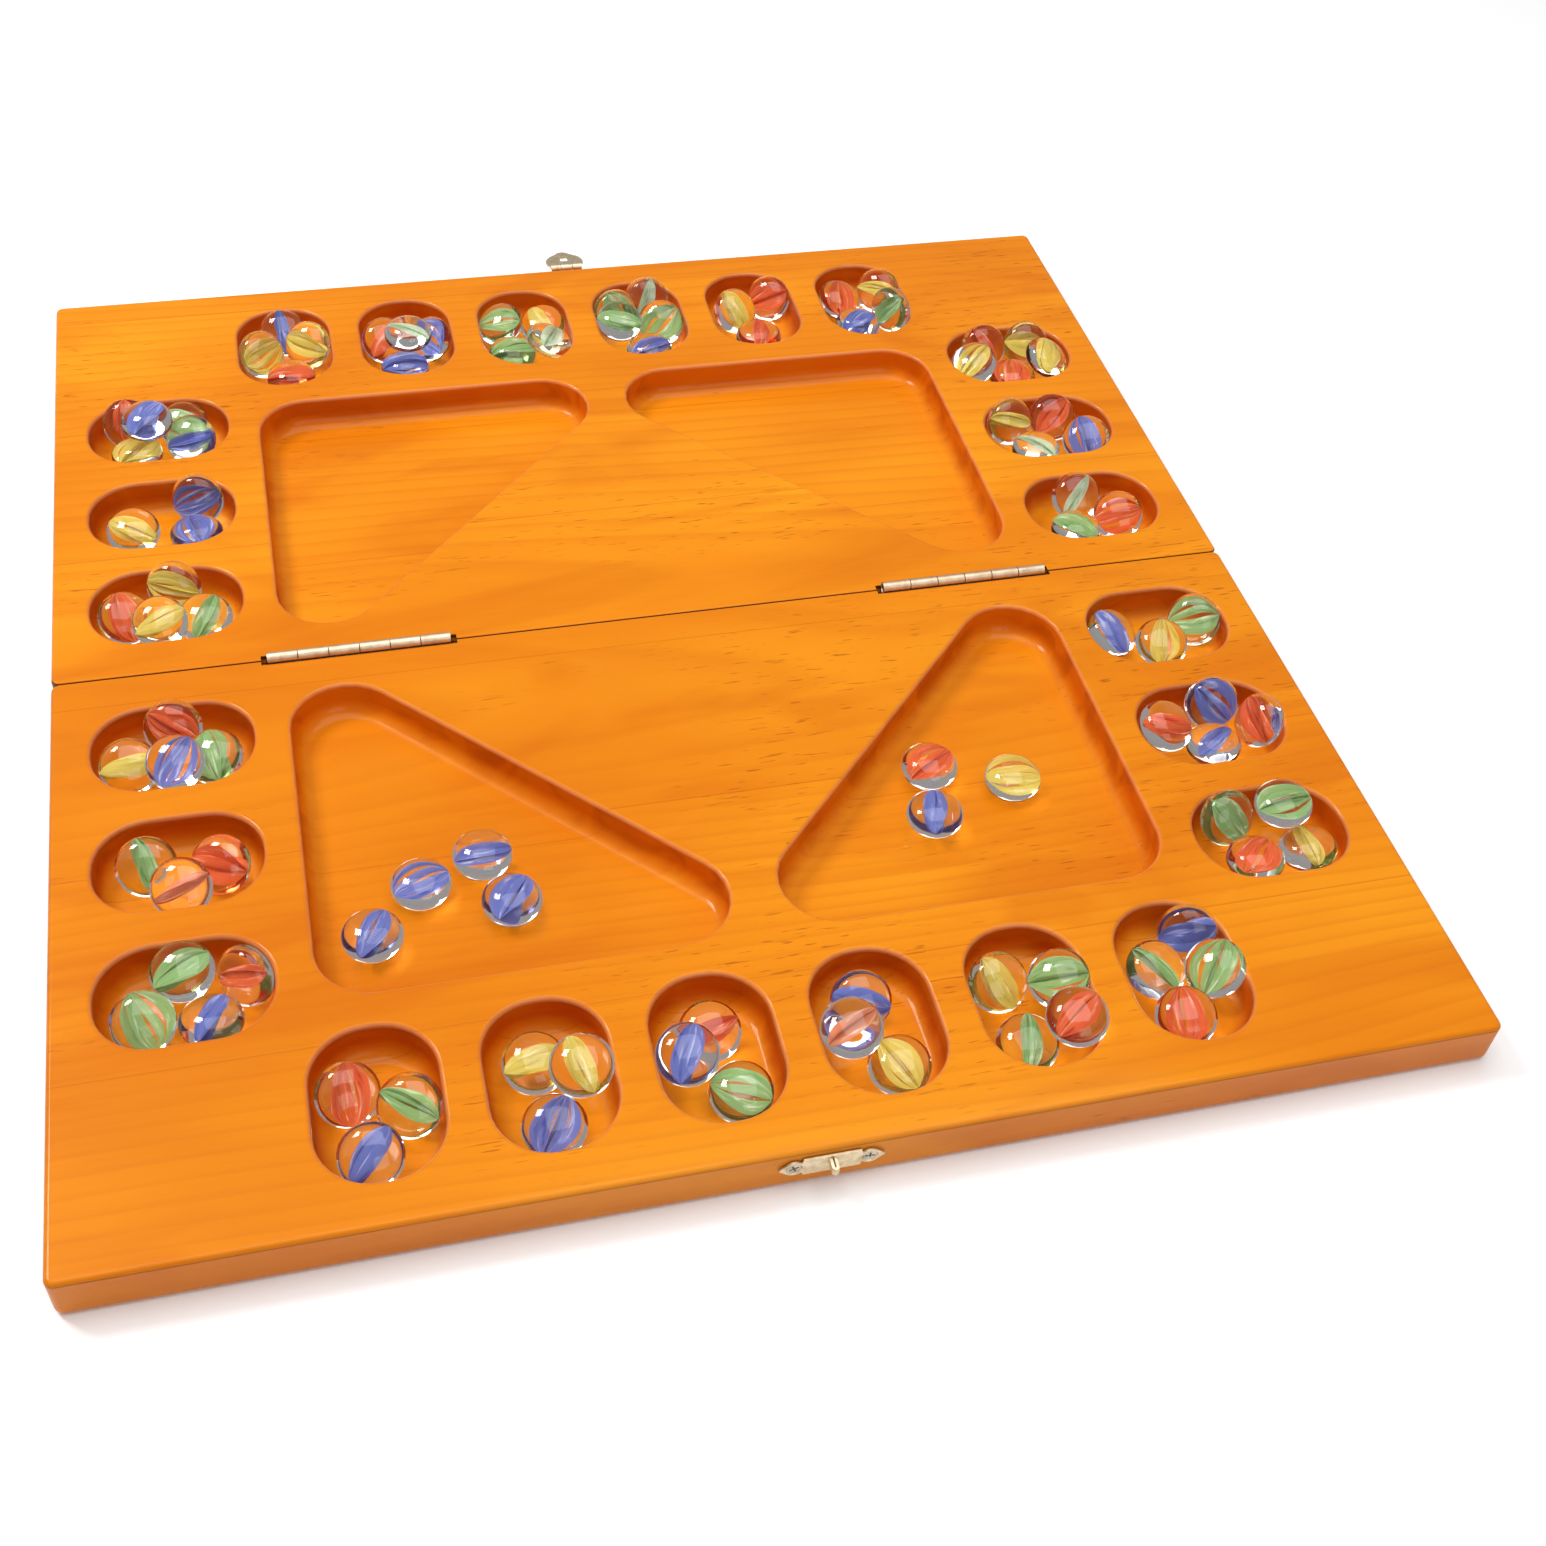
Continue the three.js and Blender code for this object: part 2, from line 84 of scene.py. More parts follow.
STONE_RADIUS = 8.6
STONE_HEIGHT = 10.4

HOLLOW_STEPS = 9        # straight pieces in each round corner
CORNER_STEPS = 8


# ---- places, from the frame

def corner_mm(node, end):
    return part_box(node)[end] / MM


near_low, near_high = corner_mm("board_near", 0), corner_mm("board_near", 1)
far_low = corner_mm("board_far", 0)
TOP = near_high.z
HALF_WIDTH = near_high.x
SEAM_Y = (near_high.y + far_low.y) / 2
HALF_GAP = (far_low.y - near_high.y) / 2
HALF_DEPTH = near_high.y - near_low.y
FLOOR_Z = TOP - HOLLOW_DEPTH

left_pin = [corner_mm("left_hinge_pin", end) for end in (0, 1)]
HINGE_X = -(left_pin[0].x + left_pin[1].x) / 2
FOLD_Z = (left_pin[0].z + left_pin[1].z) / 2

pits = {}
for opening in frame["record"]["physics"]["openings"]:
    if "pit" in opening["name"]:
        low, high = (Vector(corner) / MM for corner in opening["box_m"])
        pits[opening["name"]] = {
            "x": (low.x + high.x) / 2,
            "y": (low.y + high.y) / 2,
            "along_x": high.x - low.x > high.y - low.y,
        }


# ---- camera

CAMERA_AT = Vector((-102.4, -449.2, 428.6))
CAMERA_AIM = Vector((15.5, -78.9, 15.0))
CAMERA_ROLL = 5.4       # degrees
LENS = 44.5


def add_camera():
    data = bpy.data.cameras.new("camera")
    data.lens = LENS
    data.sensor_width = 36
    data.clip_start = 0.01
    camera = bpy.data.objects.new("camera", data)
    camera.location = CAMERA_AT * MM
    look = (CAMERA_AIM - CAMERA_AT).to_track_quat("-Z", "Y")
    camera.rotation_mode = "QUATERNION"
    camera.rotation_quaternion = look @ Quaternion((0, 0, 1), math.radians(CAMERA_ROLL))
    scene.collection.objects.link(camera)
    scene.camera = camera


# ---- mesh helpers

def finish_mesh(name, bm, materials, sharp=35):
    """Turns bm, in millimetres, into a smooth object whose edges above that angle stay sharp."""
    bmesh.ops.recalc_face_normals(bm, faces=bm.faces)
    limit = math.radians(sharp)
    for edge in bm.edges:
        edge.smooth = edge.calc_face_angle(0) < limit
    for face in bm.faces:
        face.smooth = True
    bmesh.ops.scale(bm, vec=(MM, MM, MM), verts=bm.verts)
    mesh = bpy.data.meshes.new(name)
    bm.to_mesh(mesh)
    bm.free()
    for material in materials:
        mesh.materials.append(material)
    piece = bpy.data.objects.new(name, mesh)
    scene.collection.objects.link(piece)
    return piece


def rounded_loop(corners, radius, steps):
    """Points at a distance of radius round a convex polygon, given anticlockwise."""
    points = []
    for i, corner in enumerate(corners):
        before, after = corners[i - 1], corners[(i + 1) % len(corners)]
        start = math.atan2(corner[1] - before[1], corner[0] - before[0]) - math.pi / 2
        end = math.atan2(after[1] - corner[1], after[0] - corner[0]) - math.pi / 2
        turn = (end - start) % (2 * math.pi)
        for k in range(steps + 1):
            angle = start + turn * k / steps
            c, s = math.cos(angle), math.sin(angle)
            points.append((corner[0] + radius * c, corner[1] + radius * s))
    return points


def bridge(bm, ring, next_ring):
    for k in range(len(ring)):
        m = (k + 1) % len(ring)
        bm.faces.new((ring[k], ring[m], next_ring[m], next_ring[k]))


def quarter(steps):
    """(sine, cosine) pairs from 0 to 90 degrees."""
    angles = [math.pi / 2 * k / steps for k in range(steps + 1)]
    return [(math.sin(angle), math.cos(angle)) for angle in angles]


# ---- the two halves

def hollow_profile():
    """(outset, height) of each ring from the flat top, over the eased rim and down to the floor."""
    rings = [(RIM_EASE + SUPPORT, TOP)]
    rings += [(RIM_EASE * (1 - s), TOP - RIM_EASE * (1 - c)) for s, c in quarter(5)]
    rings += [(-HOLLOW_FILLET * (1 - c), FLOOR_Z + HOLLOW_FILLET * (1 - s)) for s, c in quarter(7)]
    rings.append((-HOLLOW_FILLET - SUPPORT, FLOOR_Z))
    return rings


def hollow_loops(corners, radius):
    """The points of each ring of a pit's or tray's surface, the outermost first."""
    return [
        [(x, y, z) for x, y in rounded_loop(corners, radius + outset, HOLLOW_STEPS)]
        for outset, z in hollow_profile()
    ]


def add_hollow(bm, corners, radius):
    """The surface of a pit or tray, from the flat top in."""
    rings = [[bm.verts.new(point) for point in loop] for loop in hollow_loops(corners, radius)]
    for ring, next_ring in zip(rings, rings[1:]):
        bridge(bm, ring, next_ring)
    bm.faces.new(rings[-1])


def rectangle(x, y, half_x, half_y):
    return [(x + i * half_x, y + j * half_y) for i, j in ((1, 1), (-1, 1), (-1, -1), (1, -1))]


def pit_corners(pit):
    wide, long = PIT_WIDTH / 2 - PIT_CORNER, PIT_LENGTH / 2 - PIT_CORNER
    half_x, half_y = (long, wide) if pit["along_x"] else (wide, long)
    return rectangle(pit["x"], pit["y"], half_x, half_y)


def tray_corners(side_x, side_y):
    outer, inner = TRAY_OUTER_X * side_x, TRAY_INNER_X * side_x
    edge, seam = SEAM_Y + TRAY_OUTER_Y * side_y, SEAM_Y + TRAY_SEAM_Y * side_y
    corners = [(outer, edge), (inner, edge), (outer, seam)]
    return corners if side_x * side_y > 0 else corners[::-1]


def wall_profile(kind, ease):
    """(outset, height) of each level of the board's edge, from the top face to the underside.

    kind is wood, beside (the wood at the side of a notch), notch (for a hinge's barrel) or mortise
    (under a notch). All kinds have as many levels, so some of a kind's levels lie on each other."""
    notch, mortise = FOLD_Z - NOTCH_LOW, FOLD_Z - MORTISE_FLOOR
    if kind in ("wood", "beside"):
        support = SUPPORT if kind == "wood" else 0
        levels = [(-ease - support, TOP)]
        levels += [(-ease * (1 - s), TOP - ease * (1 - c)) for s, c in quarter(4)]
        levels += [(0, notch + 0.1), (0, notch), (0, mortise), (0, mortise)]
    else:
        levels = [(-NOTCH_DEEP, TOP - drop) for drop in NOTCH_LEVELS]
        levels += [(-NOTCH_DEEP, notch), (-MORTISE_DEEP, notch)]
        if kind == "notch":
            levels += [(0, notch), (0, mortise), (0, mortise)]
        else:
            levels += [(-MORTISE_DEEP, (notch + mortise) / 2), (-MORTISE_DEEP, mortise), (0, mortise)]
    levels += [(-BOTTOM_EASE * (1 - c), BOTTOM_EASE * (1 - s)) for s, c in quarter(5)]
    levels.append((-BOTTOM_EASE - SUPPORT, 0))
    return levels


def edge_stations():
    """(x, depth from the seam edge, outward direction, kind, ease) round a half.

    They start at the left end of the left hinge's notch and run along the seam first."""
    stations = []
    for x in (-HINGE_X, HINGE_X):
        notch = HINGE_LENGTH / 2 + NOTCH_MARGIN
        mortise = HINGE_LENGTH / 2 + MORTISE_MARGIN
        for offset, kinds in (
            (-notch, ("beside", "notch")), (-mortise, ("notch", "mortise")),
            (mortise, ("mortise", "notch")), (notch, ("notch", "beside")),
        ):
            stations += [(x + offset, 0, (0, -1), kind, SEAM_EASE) for kind in kinds]
    corners = ((1, 0, -90), (1, 1, 0), (-1, 1, 90), (-1, 0, 180))
    for side, outer, start in corners:
        for k in range(CORNER_STEPS + 1):
            along = k / CORNER_STEPS
            angle = math.radians(start + 90 * k / CORNER_STEPS)
            direction = (math.cos(angle), math.sin(angle))
            x = side * (HALF_WIDTH - BOARD_CORNER) + BOARD_CORNER * direction[0]
            middle = HALF_DEPTH - BOARD_CORNER if outer else BOARD_CORNER
            share = 1 if outer else along if side > 0 else 1 - along
            ease = SEAM_EASE + (TOP_EASE - SEAM_EASE) * share
            stations.append((x, middle + BOARD_CORNER * direction[1], direction, "wood", ease))
    return stations


def add_board(name, side, materials):
    """One half, near (side -1) or far (side 1), in the materials of its faces, pits and trays."""
    bm = bmesh.new()
    columns = []
    for x, depth, direction, kind, ease in edge_stations():
        column = []
        for outset, z in wall_profile(kind, ease):
            y = SEAM_Y + side * (HALF_GAP + depth + outset * direction[1])
            column.append(bm.verts.new((x + outset * direction[0], y, z)))
        columns.append(column)
    for i, column in enumerate(columns):
        after = columns[(i + 1) % len(columns)]
        for j in range(len(column) - 1):
            bm.faces.new((column[j], after[j], after[j + 1], column[j + 1]))
    bm.faces.new([column[-1] for column in columns])
    outside = len(bm.faces)
    for pit in pits.values():
        if (pit["y"] - SEAM_Y) * side > 0:
            add_hollow(bm, pit_corners(pit), PIT_CORNER)
    in_pits = len(bm.faces)
    for side_x in (-1, 1):
        add_hollow(bm, tray_corners(side_x, side), TRAY_CORNER)
    for number, face in enumerate(list(bm.faces)[outside:], outside):
        face.material_index = 1 if number < in_pits else 2
    bmesh.ops.remove_doubles(bm, verts=bm.verts, dist=1e-4)
    open_edges = [edge for edge in bm.edges if edge.is_boundary]
    bmesh.ops.triangle_fill(bm, use_beauty=True, edges=open_edges, normal=(0, 0, 1))
    piece = finish_mesh(name, bm, materials)
    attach(piece, "near_half" if side < 0 else "far_half")
    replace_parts(piece, "board_near" if side < 0 else "board_far")


# ---- materials

class Nodes:
    """A material's node tree, with short calls to add and link nodes."""

    def __init__(self, name):
        self.material = bpy.data.materials.new(name)
        self.material.use_nodes = True
        self.tree = self.material.node_tree
        self.shader = self.tree.nodes["Principled BSDF"]
        self.output = self.tree.nodes["Material Output"]

    def add(self, kind, inputs=None, **settings):
        node = self.tree.nodes.new("ShaderNode" + kind)
        for key, value in settings.items():
            setattr(node, key, value)
        self.put(node, inputs or {})
        return node

    def put(self, node, inputs):
        """Links each socket among the inputs, and sets each plain value."""
        for key, value in inputs.items():
            if isinstance(value, bpy.types.NodeSocket):
                self.tree.links.new(value, node.inputs[key])
            else:
                node.inputs[key].default_value = value

    def math(self, operation, first, second=0.0, clamp=False):
        node = self.add("Math", {0: first, 1: second}, operation=operation, use_clamp=clamp)
        return node.outputs[0]

    def plus(self, first, second):
        return self.math("ADD", first, second)

    def minus(self, first, second):
        return self.math("SUBTRACT", first, second)

    def times(self, first, second):
        return self.math("MULTIPLY", first, second)

    def mix(self, factor, first, second):
        """Two colours mixed, each a socket or red, green and blue."""
        node = self.add("Mix", data_type="RGBA")
        sides = [(*side, 1) if isinstance(side, tuple) else side for side in (first, second)]
        self.put(node, {"Factor": factor, "A": sides[0], "B": sides[1]})
        return node.outputs["Result"]

    def noise(self, vector, scale, detail=3.0, roughness=0.5, distortion=0.0):
        inputs = {"Vector": vector, "Scale": scale, "Detail": detail,
                  "Roughness": roughness, "Distortion": distortion}
        return self.add("TexNoise", inputs).outputs["Fac"]

    def ramp(self, factor, *stops):
        """Each stop is a position with a colour or a grey."""
        node = self.add("ValToRGB", {"Fac": factor})
        elements = node.color_ramp.elements
        while len(elements) < len(stops):
            elements.new(0.5)
        for element, (position, colour) in zip(elements, stops):
            element.position = position
            element.color = (*colour, 1) if isinstance(colour, tuple) else (colour, colour, colour, 1)
        return node.outputs["Color"]

    def mask(self, factor, low, high):
        return self.ramp(factor, (low, 0), (high, 1))

    def scaled(self, vector, x, y, z):
        return self.add("Mapping", {"Vector": vector, "Scale": (x, y, z)}).outputs["Vector"]

    def bump(self, height, strength, distance):
        node = self.add("Bump", {"Height": height, "Strength": strength, "Distance": distance})
        return node.outputs["Normal"]


STAVE_WIDTH = 0.0672    # metres, as are all lengths in a material
STAVE_SHIFT = 0.0173
GLUE_LINE = 0.006       # of a stave's width
RINGS_PER_METRE = 190
WOOD_TONES = ((0.60, 0.150, 0.002), (0.70, 0.210, 0.004), (0.78, 0.285, 0.007))
LATE_WOOD = (0.50, 0.108, 0.001)
FIBRE_TONE = (0.80, 0.31, 0.012)
STAVE_TONE = (0.56, 0.135, 0.002)
FLAME_TONE = (0.52, 0.105, 0.001)
CANAL_TONE = (0.26, 0.045, 0.001)
GLUE_TONE = (0.38, 0.07, 0.001)
STREAK_TONE = (0.34, 0.036, 0.0003)
# painted highlight for the rims of the hollows
RIM_HIGHLIGHT_TONE = (0.86, 0.42, 0.20)
# painted shade for the seam and the hinge notches
SEAM_SHADE_TONE = (0.05, 0.012, 0.002)
COAT = 0.19             # the lacquer's clear coat
FACES = ((0.46, 0.085, 0.002), 0.3, 0)      # the deeper tone of cross-cut walls (stain and painted shade), how much of it shows, and the rim's painted highlight and gloss, for pine()
# the pits' walls are painted darker than the trays', as painted shade where less light reaches into the
# narrower pits
IN_PITS = ((0.48, 0.052, 0.0003), 1.0, 0.25)
IN_TRAYS = ((0.66, 0.118, 0.0007), 1.0, 0.25)


def pine(name, seed, cut_grain_and_shade_tone, cut_grain_and_shade_share, rim_highlight_and_gloss):
    """Orange-stained pine under a satin lacquer: staves glued side by side, grain along X.

    The tone after the seed is the deeper colour of walls that cross the grain, partly the stain soaking
    in and partly painted shade, the share after it how much of it shows, and the last number how
    strongly the rim of a hollow gets a painted highlight, a paler pinker colour, and a glossier coat."""
    n = Nodes(name)
    place = n.add("TexCoord").outputs["Object"]
    x, y, z = n.add("SeparateXYZ", {"Vector": place}).outputs
    # each stave is sawn from another part of a log
    staves = n.math("DIVIDE", n.plus(y, STAVE_SHIFT), STAVE_WIDTH)
    stave = n.plus(n.math("FLOOR", staves), seed)
    pick = n.add("TexWhiteNoise", {"W": stave}, noise_dimensions="1D")
    shift = n.add("SeparateColor", {"Color": pick.outputs["Color"]})
    # yearly rings round the log's heart, which lies along X below or beside the stave
    wander = n.noise(n.scaled(place, 2.2, 9, 9), 1.0, 2.0)
    heart_y = n.plus(y, n.times(n.minus(shift.outputs[0], 0.5), 0.09))
    heart_y = n.plus(heart_y, n.times(n.minus(wander, 0.5), 0.035))
    heart_z = n.plus(n.times(shift.outputs[1], 0.05), 0.012)
    heart_z = n.plus(n.plus(z, heart_z), n.times(x, 0.05))
    radius = n.plus(n.times(heart_y, heart_y), n.times(heart_z, heart_z))
    rings = n.math("FRACT", n.times(n.math("SQRT", radius), RINGS_PER_METRE))
    late = n.ramp(rings, (0.0, 0.15), (0.55, 0.35), (0.86, 1.0), (1.0, 0.15))
    fibre = n.noise(n.scaled(place, 60, 900, 900), 1.0, 4.0, 0.6)
    cloud = n.noise(n.scaled(place, 5, 16, 16), 1.0, 3.0)
    # resin canals: short dark dashes along the grain
    dash = n.noise(n.scaled(place, 130, 1300, 1300), 1.0, 1.0)
    dash_patch = n.noise(n.scaled(place, 9, 22, 22), 1.0, 2.0)
    dash = n.times(n.mask(dash, 0.66, 0.74), n.mask(dash_patch, 0.48, 0.6))
    tone = n.ramp(cloud, *zip((0.34, 0.5, 0.66), WOOD_TONES))
    tone = n.mix(n.times(late, 0.36), tone, LATE_WOOD)
    tone = n.mix(n.times(fibre, 0.25), tone, FIBRE_TONE)
    tone = n.mix(n.times(shift.outputs[2], 0.32), tone, STAVE_TONE)
    flame = n.mask(n.noise(n.scaled(place, 7, 24, 24), 1.0, 2.0, 0.5, 1.6), 0.52, 0.66)
    tone = n.mix(n.times(flame, 0.38), tone, FLAME_TONE)
    tone = n.mix(n.times(dash, 0.6), tone, CANAL_TONE)
    # the glue line between two staves
    joint = n.math("LESS_THAN", n.math("FRACT", staves), GLUE_LINE)
    tone = n.mix(n.times(joint, 0.35), tone, GLUE_TONE)
    # the stain sinks deeper where the grain is cut across, in the hollows' walls, and streaks there;
    # the darkening of steep faces is partly painted shade as well
    facing = n.add("SeparateXYZ", {"Vector": n.add("TexCoord").outputs["Normal"]})
    level = n.math("POWER", n.math("ABSOLUTE", facing.outputs[2]), 2.0)
    steep = n.math("SUBTRACT", 1.0, level, clamp=True)
    blotch = n.noise(n.scaled(place, 40, 40, 90), 1.0, 3.0, 0.6, 0.8)
    blotch = n.ramp(blotch, (0.35, 0.72), (0.62, 1.0))
    steep = n.times(n.times(steep, cut_grain_and_shade_share), blotch)
    tone = n.mix(steep, tone, cut_grain_and_shade_tone)
    streak = n.noise(n.scaled(place, 8, 80, 80), 1.0, 2.0, 0.5, 0.8)
    streak = n.times(n.mask(streak, 0.44, 0.60), steep)
    tone = n.mix(n.times(streak, 0.55), tone, STREAK_TONE)
    # painted highlight: the rim of a hollow is painted paler and pinker, as a highlight along it, and
    # its coat is made glossier
    coat = COAT
    if rim_highlight_and_gloss:
        from_top = n.times(n.minus(TOP * MM, z), 700.0)
        rim = n.times(n.ramp(from_top, (0.02, 0), (0.25, 1), (0.8, 1), (1.0, 0)), rim_highlight_and_gloss)
        tone = n.mix(rim, tone, RIM_HIGHLIGHT_TONE)
        coat = n.plus(COAT, rim)
    # painted shade: the two edges that meet at the seam, and the notches for the hinges' barrels, are
    # painted near black as shade in that narrow gap
    from_seam = n.math("ABSOLUTE", n.minus(y, SEAM_Y * MM))
    seam_shade = n.times(n.math("LESS_THAN", from_seam, (HALF_GAP + NOTCH_DEEP + 0.1) * MM),
                      n.math("LESS_THAN", z, (TOP - 0.25) * MM))
    tone = n.mix(n.times(seam_shade, 0.85), tone, SEAM_SHADE_TONE)
    height = n.minus(n.plus(n.times(late, 0.35), n.times(fibre, 0.5)), n.times(dash, 0.6))
    n.put(n.shader, {
        "Base Color": tone,
        "Roughness": n.plus(0.34, n.times(fibre, 0.12)),
        "Specular IOR Level": 0.2,
        "Specular Tint": (1, 0.6, 0.2, 1),
        "Coat Weight": coat,
        "Coat Roughness": 0.09,
        "Normal": n.bump(height, 0.35, 0.00012),
    })
    return n.material


def metal(name, light, dark, roughness):
    """Plated sheet: long fine brush marks, and dull spots where fingers wear the plate."""
    n = Nodes(name)
    place = n.add("TexCoord").outputs["Object"]
    brush = n.noise(n.scaled(place, 300, 3500, 3500), 1.0, 3.0, 0.6)
    spots = n.noise(place, 420.0, 3.0, 0.6)
    tone = n.mix(n.mask(spots, 0.40, 0.68), light, dark)
    n.put(n.shader, {
        "Base Color": n.mix(n.times(brush, 0.25), tone, dark),
        "Roughness": n.plus(roughness, n.times(spots, 0.15)),
        "Metallic": 1,
        "Normal": n.bump(brush, 0.12, 0.00002),
    })
    return n.material


def floor_material():
    n = Nodes("pale_floor")
    n.put(n.shader, {"Base Color": (0.93, 0.93, 0.93, 1), "Roughness": 0.6})
    return n.material


def clear_glass():
    """Faintly rippled glass that lets the lamps' light through to what lies behind it."""
    n = Nodes("clear_glass")
    ripple = n.noise(n.add("TexCoord").outputs["Object"], 260.0, 1.0)
    n.put(n.shader, {
        "Base Color": (0.97, 0.99, 0.98, 1),
        "Roughness": 0.02,
        "IOR": 1.45,
        "Transmission Weight": 1,
        "Normal": n.bump(ripple, 0.12, 0.0004),
    })
    # a ray towards a lamp goes straight through
    through = n.add("BsdfTransparent", {"Color": (0.9, 0.92, 0.91, 1)}).outputs["BSDF"]
    blocked = n.add("LightPath").outputs["Is Shadow Ray"]
    either = n.add("MixShader", {0: blocked, 1: n.shader.outputs["BSDF"], 2: through})
    n.put(n.output, {"Surface": either.outputs["Shader"]})
    return n.material


def vane_glass(name, pale, base, deep):
    """The coloured glass inside a stone, streaked along the way it was drawn."""
    n = Nodes(name)
    place = n.scaled(n.add("TexCoord").outputs["UV"], 1.6, 5.0, 1.0)
    streak = n.noise(place, 1.0, 3.0, 0.6, 0.5)
    n.put(n.shader, {
        "Base Color": n.ramp(streak, (0.30, deep), (0.42, base), (0.56, base), (0.70, pale)),
        "Roughness": 0.35,
        "IOR": 1.1,
        "Transmission Weight": 0.5,
        "Normal": n.bump(streak, 0.3, 0.0002),
    })
    return n.material


# ---- glass stones

STONE_FACETS = 28
STONE_LEVELS = 14
STONE_FULLNESS = 2.25   # 2 would be an ellipse
HULL_FACETS = 14        # the coarser and slightly larger stone of the contact tests
HULL_LEVELS = 8
HULL_SWELL = 1.01
SECTIONS = 12           # along a strand of coloured glass
STRAND_SIDES = 8
STRAND_THICK = 0.5
STRAND_REACH = 0.86     # of the stone's radius, along its X axis
VANE_TWIST = 0.3        # radians from the middle to each end
TRAY_CLEARANCE = 0.05
SPIN_STEP = 47          # degrees from one pit stone to the next
DROP_FROM = 46
FAST_STEP = 2
DROP_STEP = 0.25
SLIDE_STEP = 0.4
TRY_SLIDES = (2.5, 5, 7.5)
HIGH_STONE = 6          # above the playing surface
TIP_STEP = math.radians(4)
MOST_SLIDE = 3.5
MOST_TIP = math.radians(30)

# Each stone: colour, then x and y from the pit's middle, how far its flat side tilts from level,
# and the compass direction that side then looks to (0 is +X, 90 is +Y). The first named lie lowest.
PILES = {
    "far_row_pit_1": [
        ("red", 1, -12, 8, 100), ("yellow", -9, -3, 40, 300), ("blue", -4, 11, 64, 262),
        ("yellow", 7, 3, 50, 235)],
    "far_row_pit_2": [
        ("blue", -2, -12, 10, 80), ("red", -8, 4, 50, 280), ("blue", 8, 2, 45, 230),
        ("clear", -1, -3, 25, 250)],
    "far_row_pit_3": [
        ("green", -6, -9, 12, 60), ("clear", 6, -12, 20, 120), ("yellow", 8, 2, 45, 235),
        ("green", -5, 9, 60, 265)],
    "far_row_pit_4": [
        ("blue", 1, -14, 12, 90), ("clear", 8, 13, 64, 262), ("green", -6, 13, 64, 268),
        ("green", -8, -2, 30, 300), ("green", 7, -3, 32, 250)],
    "far_row_pit_5": [
        ("red", 0, -11, 8, 90), ("yellow", -6, 4, 55, 290), ("red", 6, 5, 55, 235)],
    "far_row_pit_6": [
        ("blue", -4, -9, 10, 60), ("red", -7, 7, 40, 290), ("yellow", 6, 8, 60, 235),
        ("green", 5, -8, 45, 210)],
    "far_left_pit_3": [
        ("yellow", -8, -6, 15, 100), ("red", -12, 9, 64, 275), ("green", 8, 7, 35, 250),
        ("blue", 15, -3, 45, 200), ("blue", -1, -1, 30, 255)],
    "far_left_pit_2": [
        ("blue", 10, -6, 20, 100), ("yellow", -10, -2, 40, 270), ("blue", 9, 6, 55, 250)],
    "far_left_pit_1": [
        ("green", 11, -3, 18, 240), ("red", -13, 0, 40, 300), ("yellow", 3, 9, 50, 255),
        ("yellow", -4, -5, 35, 250)],
    "far_right_pit_3": [
        ("red", 0, -7, 8, 90), ("red", -7, 9, 64, 268), ("yellow", 9, 9, 62, 262),
        ("yellow", -15, -5, 32, 290), ("yellow", 13, -5, 26, 260)],
    "far_right_pit_2": [
        ("clear", -6, -6, 14, 90), ("yellow", -12, 8, 64, 282), ("red", 4, 9, 62, 262),
        ("blue", 13, -3, 35, 230)],
    "far_right_pit_1": [
        ("green", -7, -6, 14, 80), ("red", 9, -3, 40, 240), ("clear", -2, 8, 60, 260)],
    "near_left_pit_1": [
        ("green", 11, -2, 25, 240), ("red", 2, 8, 35, 270), ("yellow", -13, -3, 40, 280),
        ("blue", 2, -5, 38, 255)],
    "near_left_pit_2": [
        ("green", -9, 3, 40, 270), ("red", 11, 0, 40, 240), ("clear_red", 0, -5, 30, 255)],
    "near_left_pit_3": [
        ("blue", 6, -7, 14, 90), ("green", -11, -5, 35, 280), ("red", 15, 1, 60, 230),
        ("green", 0, 3, 40, 250)],
    "near_right_pit_1": [
        ("yellow", 1, -4, 18, 250), ("blue", -14, 0, 35, 300), ("green", 14, 3, 60, 235)],
    "near_right_pit_2": [
        ("blue", 0, -5, 18, 90), ("red", 17, 0, 66, 185), ("blue", 5, 9, 62, 262),
        ("red", -14, -2, 35, 290)],
    "near_right_pit_3": [
        ("red", -6, -6, 14, 90), ("yellow", 9, -5, 18, 110), ("green", -11, 6, 58, 280),
        ("green", 4, 5, 35, 250)],
    "near_row_pit_1": [
        ("blue", -3, -13, 35, 260), ("red", -7, 6, 55, 285), ("green", 6, 2, 40, 245)],
    "near_row_pit_2": [
        ("yellow", -3, 7, 15, 270), ("blue", -1, -13, 40, 262), ("yellow", 5, 0, 35, 240)],
    "near_row_pit_3": [
        ("green", 4, -12, 14, 250), ("red", 0, 8, 25, 265), ("blue", -6, -6, 35, 265)],
    "near_row_pit_4": [
        ("yellow", 3, -12, 14, 240), ("blue", -2, 9, 45, 262), ("clear_red", -5, -2, 30, 255)],
    "near_row_pit_5": [
        ("green", -5, -12, 14, 250), ("yellow", -7, 8, 55, 280), ("green", 5, 7, 40, 235),
        ("red", 5, -6, 25, 250)],
    "near_row_pit_6": [
        ("red", -3, -12, 16, 250), ("green", -6, 4, 25, 290), ("blue", 6, 10, 55, 250),
        ("green", 6, -4, 35, 220)],
}
TRAY_STONES = {         # colour, and which way the vanes run, in degrees
    "stone_left_1": ("blue", 62), "stone_left_2": ("blue", 20), "stone_left_3": ("blue", 8),
    "stone_left_4": ("blue", 55), "stone_right_1": ("red", 30), "stone_right_2": ("blue", 75),
    "stone_right_3": ("yellow", 350),
}


